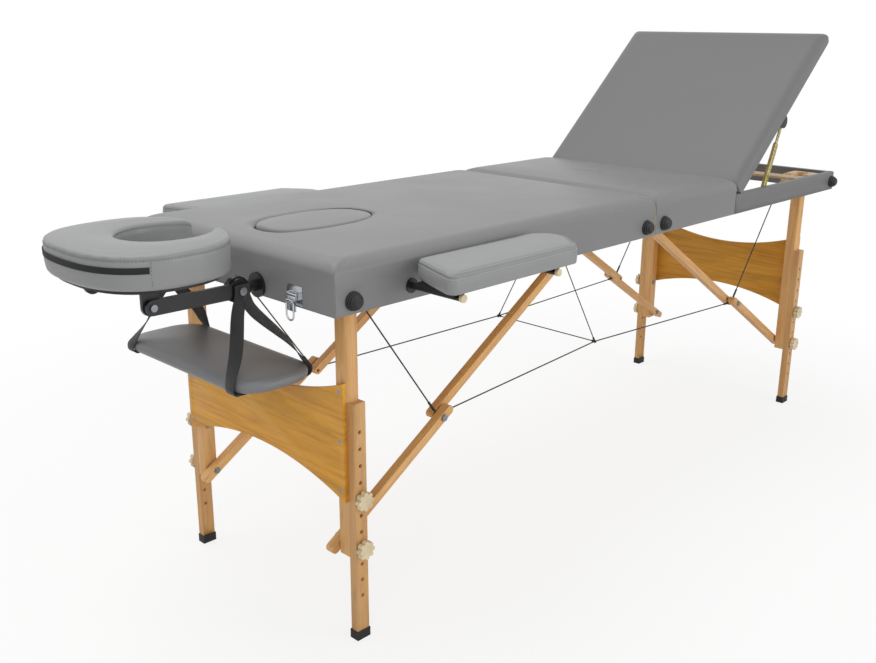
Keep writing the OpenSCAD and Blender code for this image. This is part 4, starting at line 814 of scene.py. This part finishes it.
def rail_cover():
    """Vinyl folded round the foot half's rails: a U-shaped path with a channel section that
    covers the outer face, the top and the inner face."""
    corner, deep = 0.004, RAIL_T + 2 * COVER
    side, end = TOP_W / 2, FOOT_X
    quarter = np.linspace(0, math.pi / 2, 6)
    turn = end - corner + corner * np.sin(quarter)
    round_y = side - corner + corner * np.cos(quarter)
    straight = np.linspace(FOOT_X - SEAT_U + 0.0004, end - corner, 40)[:-1]
    across = np.linspace(corner - side, side - corner, 32)[1:-1]
    path = np.column_stack([
        np.concatenate([straight, turn, np.full(30, end), turn[::-1], straight[::-1]]),
        np.concatenate([np.full(39, -side), -round_y, across, round_y[::-1], np.full(39, side)])])
    by_end = np.where(path[:, 0] > end - corner - 1e-9, np.clip(end - path[:, 0], 0, corner) / corner - 1, 0)
    by_side = 1 - np.clip((side - np.abs(path[:, 1])) / corner, 0, 1)
    inset_dir = np.stack([by_end, -np.sign(path[:, 1]) * by_side], 1)
    low, high = FRAME_Z + 0.0004, DECK_Z
    outside = [(0.0, low), (0.0, (low + high) / 2), (0.0, high - 0.003), (0.0009, high - 0.0009),
               (0.003, high)]
    inner = [(deep - 0.003, high), (deep - 0.0009, high - 0.0009), (deep, high - 0.003),
             (deep, (low + high) / 2), (deep, low)]
    thin = COVER - 0.0003
    lining = [(deep - thin, low), (deep - thin, high - thin), (thin, high - thin), (thin, low)]
    profile = np.array(outside + inner + lining)
    inset = path[:, None, :] + inset_dir[:, None, :] * profile[None, :, :1]
    z = np.broadcast_to(profile[None, :, 1:2], inset.shape[:2] + (1,))
    rings = np.concatenate([inset, z], 2)
    # The cover takes the darkened vinyl: painted shade on the rails' sides
    return skin("rail_cover", rings, "vinyl_rail", flip=True)


class TABLE_OT_backrest(bpy.types.Operator):
    """Make the backrest's cushion on its board"""
    bl_idname = "massage_table.backrest"
    bl_label = "Backrest"

    def execute(self, context):
        r, soft, shoulder, top = BACK_HALF, 0.020, 0.032, BACK_HALF - 0.0025
        edges = (120, 130, 120, 130)
        corners = box_corners(-r, BACK_LEN, -TOP_W / 2, TOP_W / 2)
        centre, half = corners.mean(0), (corners[2] - corners[0]) / 2 - shoulder
        lip = -r - 0.0002
        # Profile of the long sides and the top end: from the board's edge, under it and up the side
        sides = [(0.0026, BOARD_TOP, 0), (0.0026, lip, 0), (0.0120, lip, 0), (0.0122, lip - 0.0010, 0),
                 (0.0080, lip - 0.0014, 0), (0.0040, lip - 0.0006, 0), (0.0012, -0.0195, 0),
                 (0.0003, -0.0165, 0), (0.0, -0.013, 0), (-0.0008, -0.006, 0), (-0.0004, top - soft, 0)]
        sides += [(shoulder * (1 - math.cos(t)), top - soft + soft * math.sin(t),
                   0.022 * math.sin(t) ** 2) for t in np.linspace(0, math.pi / 2, 13)[1:]]
        # Profile of the nose: a half circle about the hinge axis
        turn = np.linspace(-math.pi / 2, math.pi / 2, len(sides) - 3)
        nose = [(0.0297, BOARD_TOP), (0.0297, lip), (0.026, lip)]
        nose += [(r * (1 - math.cos(t)), (top if t > 0 else r) * math.sin(t)) for t in turn]
        rings = []
        for (i0, z0, grow), (i1, z1) in zip(sides, nose):
            flat, way = loop_round(corners, i0, 0.006 + grow, edges)
            share = np.clip((-way[:, 0] - 0.25) / 0.6, 0, 1)[:, None]
            share = share * share * (3 - 2 * share)
            flat[:, :1] += share * (i1 - i0)
            rings.append(np.concatenate([flat, z0 * (1 - share) + z1 * share], 1))
        edge = rings[-1][:, :2] - centre
        rings += [crowned(edge * k, centre, half, top, 0.0045) for k in np.linspace(0.97, 0.03, 30)]
        rim, rim_z = rings[0][:, :2] - centre, rings[0][:, 2]
        under = [raised(rim * k + centre, rim_z) for k in (0.03, 0.5, 0.9)]
        # The pad takes the darkened vinyl: painted shade on the backrest
        pad = skin("backrest_upholstery", tilted(np.array(under + rings)), "vinyl_back")
        finish_piece(pad, "backrest", ["backrest_cushion"])
        return {"FINISHED"}


def tilted(points):
    """Points drawn with the backrest flat and its hinge axis at the origin, tilted up into place."""
    c, s = math.cos(BACK_TILT), math.sin(BACK_TILT)
    x, z = points[..., 0], points[..., 2]
    return np.stack([x * c - z * s + FOOT_X - BACK_U, points[..., 1], x * s + z * c + BACK_Z], -1)


class TABLE_OT_plug(bpy.types.Operator):
    """Make the oval plug of the face hole"""
    bl_idname = "massage_table.plug"
    bl_label = "Face plug"

    def execute(self, context):
        turn = np.arange(200) / 200 * 2 * math.pi
        rim = np.stack([super_round(np.cos(turn)), super_round(np.sin(turn))], 1)
        half, centre = np.array([PLUG_A - 0.0022, PLUG_B - 0.0012]), [HEAD_X + PLUG_U, 0]
        low, top, soft = DECK_Z + 0.0004, sizes().top_z + 0.0005, 0.008
        levels = [(0.0, low), (0.0, top - soft - 0.006)]
        levels += [(soft * (1 - np.cos(t)), top - soft + soft * np.sin(t))
                   for t in np.linspace(0, math.pi / 2, 8)]
        rings = [raised(rim * (half - inset) + centre, z) for inset, z in levels]
        rings = domed(rings, centre, np.linspace(0.95, 0.04, 18), 0.0022, 0.03)
        plug = skin("face_plug_pad", rings, "vinyl_top")
        finish_piece(plug, "face_plug", ["face_plug"])
        return {"FINISHED"}


# Face pillow

def pillow_rims(turn, grow=0.0):
    """Outer outline and opening of the pillow at turns from its front, seen from above; the outer
    one is a superellipse, the opening an ellipse set back from the middle."""
    c, s = np.cos(turn), np.sin(turn)
    outer = np.stack([PILLOW_X - (PILLOW_RX + grow) * super_round(c),
                      (PILLOW_RY + grow) * super_round(s)], -1)
    inner = np.stack([OPENING_X - OPENING_RX * c, OPENING_RY * s], -1)
    return outer, inner


def outer_run(first, last, count, grow=0.0):
    """Points evenly spaced on the pillow's outer outline between two turns, with outward directions."""
    fine = np.linspace(first, last, 2000)
    run = run_of(pillow_rims(fine, grow)[0])
    turn = np.interp(np.linspace(0, run[-1], count), run, fine)
    points = pillow_rims(turn, grow)[0]
    step = unit(np.gradient(points, axis=0))
    return points, np.stack([-step[:, 1], step[:, 0]], 1), turn


def pillow_section():
    """Section of the pillow, across from -1 to 1 and up in metres: flat below, straight sides,
    round upper edges with a groove at the seam, and a crowned top."""
    half, height, low_r = 0.050, 0.062, 0.010
    bottom = [(x, 0.0) for x in np.linspace(-half + low_r, half - low_r, 9)]
    right_low = [(half - low_r + low_r * math.sin(t), low_r - low_r * math.cos(t))
                 for t in np.linspace(0, math.pi / 2, 5)]
    side = height - 0.012
    right_side = [(half + 0.0014 * math.sin(math.pi * k), low_r + (side - 0.002 - low_r) * k)
                  for k in (0.2, 0.4, 0.6, 0.8, 1.0)]
    seam = [(half - 0.0013, side), (half - 0.0006, side + 0.0016)]
    top_edge = [(half - 0.0006 - 0.024 * (1 - math.cos(t)), side + 0.0016 + 0.0088 * math.sin(t))
                for t in np.linspace(0.25, math.pi / 2, 8)]
    x_end, z_end = top_edge[-1]
    top = [(x, z_end + 0.0016 * (1 - (x / x_end) ** 2))
           for x in np.linspace(x_end * 0.75, -x_end * 0.75, 7)]
    right = right_low[1:] + right_side + seam + top_edge
    left = [(-x, z) for x, z in right[::-1]][:-1]
    ring = np.array(bottom + right + top + left)
    return ring / [half, 1.0]


class TABLE_OT_pillow(bpy.types.Operator):
    """Make the horseshoe face pillow with its seams, stitches and black tape"""
    bl_idname = "massage_table.pillow"
    bl_label = "Face pillow"

    def execute(self, context):
        section = pillow_section()
        arm_turn = PILLOW_TURN - PILLOW_TIP
        tip = PILLOW_TURN - PILLOW_TIP * (1 - np.cos(np.linspace(0.12, math.pi / 2, 16)))[:-1]
        bend = outer_run(-arm_turn, arm_turn, 210)[2]
        turn = np.concatenate([-tip, bend, tip[::-1]])
        outer, inner = pillow_rims(turn)
        middle, half = (outer + inner) / 2, (outer - inner) / 2
        near = np.clip((PILLOW_TURN - np.abs(turn)) / PILLOW_TIP, 0, 1)
        size = np.maximum(np.sqrt(1 - (1 - near) ** 2), 0.06)
        across = section[None, :, 0] * size[:, None]
        height = 0.031 + (section[None, :, 1] - 0.031) * (0.72 + 0.28 * size[:, None])
        pucker = np.exp(-((section[:, 1] - 0.051) / 0.006) ** 2) * (section[:, 0] > 0)
        ripple = 0.014 * np.sin(np.arange(len(turn)) * 0.75) * (0.4 + 0.6 * np.sin(turn * 2.2) ** 2)
        across = across + ripple[:, None] * pucker[None, :] * (size > 0.9)[:, None]
        flat = middle[:, None, :] + across[:, :, None] * half[:, None, :]
        rings = np.concatenate([flat, height[:, :, None] + PILLOW_Z], 2)
        # The pad takes the lighter vinyl: a painted highlight on the pillow
        pillow = skin("face_pillow_pad", rings, "vinyl_pillow", flip=True)
        plump(pillow, 0.0010, PILLOW_Z + 0.004)
        finish_piece(pillow, "face_pillow", ["face_pillow"])
        finish_piece(self.tape(), "face_pillow")
        finish_piece(self.seams(), "face_pillow")
        return {"FINISHED"}

    def tape(self):
        """Black tape round the front of the pillow's side."""
        flat, out, _ = outer_run(-TAPE_TURN, TAPE_TURN, 110, 0.0017)
        section = band_section(0.0105, 0.0016)
        return sweep("pillow_tape", raised(flat, PILLOW_Z + 0.0345), section, "hook_tape", raised(out, 0))

    def seams(self):
        """Two rows of stitches round the top edge and one row down each end of the tape."""
        made = []
        for grow, z, tag in ((0.0002, 0.0490, "low"), (-0.0030, 0.0545, "high")):
            flat, out, _ = outer_run(-PILLOW_TURN + PILLOW_TIP, PILLOW_TURN - PILLOW_TIP, 300, grow)
            made.append(stitches("pillow_seam_" + tag, raised(flat, PILLOW_Z + z), raised(out, 0.35),
                                 "thread_dark"))
        for sign in (-1, 1):
            flat, out, _ = outer_run(0.0, sign * (TAPE_TURN + 0.02), 50, 0.0012)
            path = raised(np.tile(flat[-1], (20, 1)), np.linspace(PILLOW_Z + 0.008, PILLOW_Z + 0.048, 20))
            normal = raised(np.tile(sign * out[-1], (20, 1)), 0)
            made.append(stitches("pillow_side_seam", path, normal, "thread_dark"))
        return merge("pillow_stitches", made)


# Armrests

ARM_CORNERS = np.array([[0, 0], [ARM_LEN - 0.045, 0], [ARM_LEN, 0.062], [ARM_LEN, ARM_W - 0.026],
                        [ARM_LEN - 0.028, ARM_W], [0.046, ARM_W]])


class TABLE_OT_armrests(bpy.types.Operator):
    """Make the two armrest pads with their double-stitched edges"""
    bl_idname = "massage_table.armrests"
    bl_label = "Armrests"

    def execute(self, context):
        corners = ARM_CORNERS + [HEAD_X + ARM_U, -TOP_W / 2 - ARM_GAP - ARM_W]
        edges = (70, 22, 10, 12, 60, 26)

        def ring(inset, z):
            flat, way = loop_round(corners, inset, max(0.013 - inset / 2, 0.004), edges, 6)
            return raised(flat, z), way

        levels = [(0.004, ARM_LOW), (0.001, ARM_LOW + 0.0012), (0.0, ARM_LOW + 0.004),
                  (-0.0006, ARM_LOW + 0.014), (0.0, ARM_TOP - 0.0100), (0.0011, ARM_TOP - 0.0084),
                  (0.0002, ARM_TOP - 0.0068)]
        levels += [(0.0003 + 0.014 * (1 - math.cos(t)), ARM_TOP - 0.0062 + 0.0062 * math.sin(t))
                   for t in np.linspace(0.2, math.pi / 2, 8)]
        rings = [ring(i, z)[0] for i, z in levels]
        rings = domed(rings, corners.mean(0), np.linspace(0.94, 0.04, 14), 0.0025, 0.03)
        # The pad takes the lighter vinyl: a painted highlight on the armrest
        near = skin("near_armrest_cushion", rings, "vinyl_pillow")
        plump(near, 0.0008, ARM_LOW + 0.004)
        rows = []
        for inset, drop, tilt, tag in ((0.0, 0.0105, 0.2, "low"), (0.0036, 0.0016, 1.2, "high")):
            path, way = ring(inset, ARM_TOP - drop)
            closed = np.arange(len(path) + 1) % len(path)
            rows.append(stitches("armrest_row_" + tag, path[closed], raised(way[closed], tilt),
                                 "thread_light", 0.0006))
        seam = merge("near_armrest_stitches", rows)
        far = mirrored(near, "far_armrest_cushion")
        far_seam = mirrored(seam, "far_armrest_stitches")
        for side, pad, rows in (("near", near, seam), ("far", far, far_seam)):
            finish_piece(pad, side + "_armrest", [side + "_armrest_pad"])
            finish_piece(rows, side + "_armrest")
        return {"FINISHED"}


# Arm sling

class TABLE_OT_sling(bpy.types.Operator):
    """Make the sling's padded board and its webbing"""
    bl_idname = "massage_table.sling"
    bl_label = "Arm sling"

    def execute(self, context):
        corners = box_corners(-SLING_HALF, SLING_HALF, -0.200, 0.200) + [SLING_X, 0]
        low, high = SLING_LOW, SLING_HIGH
        levels = [(0.012, low), (0.004, low + 0.0016), (0.0008, low + 0.006), (0.0, (low + high) / 2),
                  (0.0010, high - 0.0055), (0.005, high - 0.0016), (0.013, high)]
        rings = [raised(loop_round(corners, inset, 0.058 - inset, (12, 60, 12, 60), 20)[0], z)
                 for inset, z in levels]
        rings = domed(rings, [SLING_X, 0], np.linspace(0.9, 0.05, 10), 0.0022, 0.05)
        board = skin("sling_pad", rings, "vinyl_sling")
        finish_piece(board, "sling", ["sling_board"])
        finish_piece(self.straps(), "sling", ["sling_straps"])
        return {"FINISHED"}

    def straps(self):
        """Each strap runs from the joint's bolt, twists, wraps the board's edge and meets its
        partner under the board."""
        section = band_section(0.0235, 0.0016, 2)
        y, low = -0.160, SLING_LOW - 0.002
        made = []
        for side in (-1, 1):
            edge = SLING_X + side * (SLING_HALF + 0.0012)
            points = [[JOINT_X + side * 0.003, -0.1103, JOINT_Z + 0.011],
                      [JOINT_X + side * 0.003, -0.1106, JOINT_Z - 0.001],
                      [JOINT_X + side * 0.006, -0.1113, JOINT_Z - 0.015],
                      [JOINT_X + side * 0.018, -0.119, JOINT_Z - 0.040],
                      [edge - side * 0.030, -0.140, 0.572], [edge - side * 0.008, -0.1545, 0.536],
                      [edge, y, 0.522], [edge, y, 0.514], [edge - side * 0.004, y, low + 0.0013],
                      [edge - side * 0.012, y, low], [SLING_X + side * 0.03, y, low],
                      [SLING_X, y, low - 0.0002]]
            down = [0, 0, -1]
            out = np.array([[0, -1, 0], [0, -1, 0], [side * 0.05, -1, 0.1], [side * 0.25, -1, 0.2],
                            [side * 0.8, -0.75, 0.3], [side * 1.0, -0.3, 0.15], [side, -0.05, 0],
                            [side, 0, -0.1], [side * 0.7, 0, -0.8], down, down, down], float)
            path = smooth_path(points, 90)
            normal = along_rows(np.linspace(0, 1, 90), np.linspace(0, 1, len(points)), out)
            made.append(sweep(f"strap_{side}", path, section, "webbing", normal))
        near = merge("near_straps", made)
        return merge("sling_webbing", [near, mirrored(near, "far_straps")])


# Cables

class TABLE_OT_cables(bpy.types.Operator):
    """Make the cables, with the sleeves and crimps at their ends"""
    bl_idname = "massage_table.cables"
    bl_label = "Cables"

    def execute(self, context):
        for half, side in (("head", 1), ("foot", -1)):
            lo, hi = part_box(half + "_cables")
            knee_x, eye_x = (hi.x, lo.x) if side > 0 else (lo.x, hi.x)
            made = []
            for y in (-KNEE_Y, KNEE_Y):
                eye = np.array([eye_x + side * 0.002, y, hi.z - 0.002])
                knee = np.array([knee_x, y, lo.z + 0.001])
                made += [self.cable(eye, knee), self.crimp(knee, eye, 0.012, 0.024),
                         self.crimp(eye, knee, 0.010, 0.012)]
            self.blended(half + "_end_cables", made, half + "_half", half + "_upper_struts",
                         (eye_x, 0, hi.z), (knee_x, 0, lo.z), half + "_cables")
        self.net()
        return {"FINISHED"}

    def cable(self, a, b, share=1.0):
        """A straight cable; share is its radius as a share of the others'."""
        section = round_section(sizes().cable_radius * share, 10)
        return sweep("cable", np.linspace(a, b, 24), section, "cable")

    def crimp(self, at, towards, gap, length):
        """A sleeve on a cable, a gap away from its end."""
        d = (towards - at) / np.linalg.norm(towards - at)
        path = np.linspace(at + d * gap, at + d * (gap + length), 6)
        return sweep("crimp", path, round_section(sizes().cable_radius * 1.75, 10), "cable")

    def blended(self, name, made, first, last, start, end, node):
        """Joins cables into one piece with its transform baked, and hides the CAD node it stands for."""
        whole = merge(name, made)
        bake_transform(whole)
        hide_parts(node)

    def net(self):
        """Cables from the knees to the two joints under the fold, up to the fold and across."""
        lo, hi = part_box("centre_cables")
        knots = [np.array([FOLD_X, sign * NET_Y, NET_Z]) for sign in (-1, 1)]
        for half, knee_x in (("head", lo.x), ("foot", hi.x)):
            made = []
            for sign, knot in zip((-1, 1), knots):
                knee = np.array([knee_x, sign * KNEE_Y, lo.z + 0.0015])
                made += [self.cable(knee, knot), self.crimp(knee, knot, 0.010, 0.022)]
            self.blended(half + "_net_cables", made, half + "_upper_struts", half + "_half",
                         (knee_x, 0, NET_Z), (float(FOLD_X), 0, NET_Z), "centre_cables")
        made = []
        for sign, knot in zip((-1, 1), knots):
            eye = np.array([FOLD_X - 0.009, sign * 0.012, hi.z])
            made += [self.cable(knot, eye, 0.85), self.crimp(knot, eye, -0.004, 0.014),
                     self.crimp(knot, knot * [1, 0, 1], -0.004, 0.012)]
        made.append(self.cable(*knots, 0.85))
        finish_piece(merge("fold_cables", made), "head_half", ["centre_cables"])


# Wood, metal and plastics

class TABLE_OT_wood(bpy.types.Operator):
    """Round the wood's edges and give each board its grain"""
    bl_idname = "massage_table.wood"
    bl_label = "Woodwork"

    def execute(self, context):
        for half in ("head", "foot"):
            leg, frame_body = half + "_leg", half + "_half"
            rounded = [
                (half + "_posts", "beech_upright", 0.0018, leg, "beech"),
                (half + "_near_extension", "beech_extension", 0.0014, half + "_near_foot", "beech"),
                (half + "_far_extension", "beech_extension", 0.0014, half + "_far_foot", "beech"),
                (half + "_lower_struts", f"beech_{half}_strut", 0.0026, half + "_lower_struts", "beech"),
                (half + "_upper_struts", f"beech_{half}_strut", 0.0026, half + "_upper_struts", "beech"),
                (half + "_panel", "panel_" + half, 0.0012, leg, "pine"),
                (half + "_blocks", "beech_block", 0.0014, frame_body, "beech"),
            ]
            for node, material, width, body, slot in rounded:
                piece = softened(node, node + "_wood", material, width, 3 if "strut" in node else 2)
                finish_piece(piece, body)
            dress(half + "_frame", "birch")
        dress("backrest_board", "birch_board")
        return {"FINISHED"}


class TABLE_OT_fittings(bpy.types.Operator):
    """Give the metal and plastic parts their finishes"""
    bl_idname = "massage_table.fittings"
    bl_label = "Fittings"

    def execute(self, context):
        finishes = {
            "steel": ["tilt_brackets"],
            "black_paint": ["backrest_brackets", "cradle_rods", "cradle_arms"],
            "black_rubber": [],
            "cream_nylon": [],
            "black_nylon": ["cradle_sockets", "armrest_sockets", "cradle_base", "cradle_levers",
                            "near_armrest_bracket", "far_armrest_bracket"],
            "yellow_zinc": ["stay_strips", "stay_channels"],
            "chrome": ["latch_plates", "latch_levers", "latch_bails"]}
        for half in ("head", "foot"):
            finishes["steel"] += [half + "_hardware", half + "_leg_bolts", half + "_knee_bolts"]
            finishes["black_rubber"] += [half + "_bumpers", half + "_near_cap", half + "_far_cap"]
            finishes["cream_nylon"] += [half + "_upper_knobs", half + "_lower_knobs"]
        for material, nodes in finishes.items():
            for node in nodes:
                dress(node, material)
        bolt_head, nub_y = 0.0075, TOP_W / 2 + ARM_GAP + ARM_W - 0.020
        accent("cradle_rods", "steel", near_axis(JOINT_X, JOINT_Z, bolt_head, 0.1112))
        accent("cradle_arms", "steel", near_axis(FRONT_BOLT_X, FRONT_BOLT_Z, bolt_head, 0.1057))
        for node in ("near_armrest_bracket", "far_armrest_bracket"):
            accent(node, "cream_nylon", lambda c: np.abs(c[:, 1]) > nub_y + 0.0001)
        return {"FINISHED"}


# Stage

class TABLE_OT_stage(bpy.types.Operator):
    """Make the camera, the lamps, the floor and the world"""
    bl_idname = "massage_table.stage"
    bl_label = "Stage"

    def execute(self, context):
        self.camera()
        self.floor()
        self.lamps()
        return {"FINISHED"}

    def camera(self):
        """A level camera near the head end: yaw from +Y towards +X, pitch below the horizon."""
        yaw, pitch, roll = (math.radians(v) for v in (45.74, 17.39, 0.29))
        forward = np.array([math.sin(yaw) * math.cos(pitch), math.cos(yaw) * math.cos(pitch),
                            -math.sin(pitch)])
        right = np.array([math.cos(yaw), -math.sin(yaw), 0.0])
        up = np.cross(right, forward)
        across = right * math.cos(roll) + up * math.sin(roll)
        above = -right * math.sin(roll) + up * math.cos(roll)
        data = bpy.data.cameras.new("camera")
        data.sensor_width = 36.0
        data.lens = 40.93
        data.clip_end = 50.0
        item = link("camera", data)
        basis = Matrix([list(a) for a in np.stack([across, above, -forward], 1)]).to_4x4()
        item.matrix_world = Matrix.Translation((-0.98043 + HEAD_X, -1.48539, 1.10537)) @ basis
        bpy.context.scene.camera = item

    def floor(self):
        """A pale floor that the camera sees as white, apart from the object's shadow."""
        material, tree, shader, place = start("floor_paint")
        wire(tree, shader, None, {"Base Color": linear("#fbfbfb"), "Roughness": 0.9})
        glow = add(tree, "ShaderNodeEmission", None, {"Color": (1, 1, 1, 1), "Strength": 1.0})
        path = add(tree, "ShaderNodeLightPath")
        across = add(tree, "ShaderNodeVectorMath", {0: place}, {1: (1, 1, 0)}, operation="MULTIPLY")
        far = add(tree, "ShaderNodeVectorMath", {0: across.outputs[0]}, operation="LENGTH")
        fade = add(tree, "ShaderNodeMapRange", {0: far.outputs["Value"]},
                   {1: 0.9, 2: 2.2, 3: 0.80, 4: 1.0}, interpolation_type="SMOOTHSTEP")
        share = add(tree, "ShaderNodeMath", {0: path.outputs["Is Camera Ray"], 1: fade.outputs[0]},
                    operation="MULTIPLY")
        mixed = add(tree, "ShaderNodeMixShader", {0: share.outputs[0], 1: shader.outputs[0],
                                                  2: glow.outputs[0]})
        tree.links.new(mixed.outputs[0], tree.nodes["Material Output"].inputs[0])
        mesh = bpy.data.meshes.new("floor")
        corners = raised(box_corners(-14, 14, -14, 14), -0.0004)
        mesh.from_pydata(corners.tolist(), [], [(0, 1, 2, 3)])
        mesh.materials.append(material)
        link("floor", mesh)

    def lamps(self):
        """A large soft lamp above, two weaker ones from the near side, and an even pale world."""
        scene = bpy.context.scene
        scene.view_settings.view_transform = "Standard"
        world = bpy.data.worlds.new("room")
        scene.world = world
        world.use_nodes = True
        tree = world.node_tree
        tree.nodes.clear()
        path = add(tree, "ShaderNodeLightPath")
        seen = add(tree, "ShaderNodeMath", {0: path.outputs["Is Camera Ray"],
                                            1: path.outputs["Is Glossy Ray"]}, operation="MAXIMUM")
        fill = add(tree, "ShaderNodeBackground", None, {"Color": (1.0, 1.0, 1.0, 1.0), "Strength": 0.50})
        white = add(tree, "ShaderNodeBackground", None, {"Color": (1, 1, 1, 1), "Strength": 1.0})
        mixed = add(tree, "ShaderNodeMixShader", {0: seen.outputs[0], 1: fill.outputs[0],
                                                  2: white.outputs[0]})
        add(tree, "ShaderNodeOutputWorld", {0: mixed.outputs[0]})
        lamps = [("sky_lamp", (-0.7, 0.9, 3.6), (-0.2, 0.0, 0.6), 3.0, 52.0),
                 ("window_lamp", (-3.2, -2.2, 2.2), (-0.2, 0.0, 0.6), 1.8, 18.0),
                 ("side_lamp", (0.9, -3.6, 1.5), (0.3, 0.0, 0.6), 2.0, 36.0)]
        for name, place, aim, size, power in lamps:
            data = bpy.data.lights.new(name, "AREA")
            data.shape = "SQUARE"
            data.size = size
            data.energy = power
            direction = Vector(aim) - Vector(place)
            turned = direction.to_track_quat("-Z", "Y").to_matrix().to_4x4()
            link(name, data).matrix_world = Matrix.Translation(place) @ turned


class TABLE_PT_panel(bpy.types.Panel):
    """Lists the table's sizes, colours and operators"""
    bl_label = "Massage table"
    bl_idname = "TABLE_PT_panel"
    bl_space_type = "VIEW_3D"
    bl_region_type = "UI"
    bl_category = "Massage table"

    def draw(self, context):
        for group in (context.scene.table_sizes, context.scene.table_colours):
            for key in group.__annotations__:
                self.layout.prop(group, key)
        for operator in OPERATORS:
            self.layout.operator(operator.bl_idname)


OPERATORS = (TABLE_OT_stage, TABLE_OT_top, TABLE_OT_backrest, TABLE_OT_plug, TABLE_OT_pillow,
             TABLE_OT_armrests, TABLE_OT_sling, TABLE_OT_cables, TABLE_OT_wood, TABLE_OT_fittings)
CLASSES = (TableSizes, TableColours) + OPERATORS + (TABLE_PT_panel,)


def register():
    """Registers the classes and the scene's properties."""
    for item in CLASSES:
        bpy.utils.register_class(item)
    bpy.types.Scene.table_sizes = bpy.props.PointerProperty(type=TableSizes)
    bpy.types.Scene.table_colours = bpy.props.PointerProperty(type=TableColours)


def unregister():
    """Removes what register adds."""
    del bpy.types.Scene.table_sizes
    del bpy.types.Scene.table_colours
    for item in reversed(CLASSES):
        bpy.utils.unregister_class(item)


def main():
    """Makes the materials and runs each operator."""
    register()
    make_materials()
    for operator in OPERATORS:
        group, name = operator.bl_idname.split(".")
        if getattr(getattr(bpy.ops, group), name)() != {"FINISHED"}:
            raise RuntimeError(f"{operator.bl_label} didn't finish")


if __name__ == "__main__":
    main()
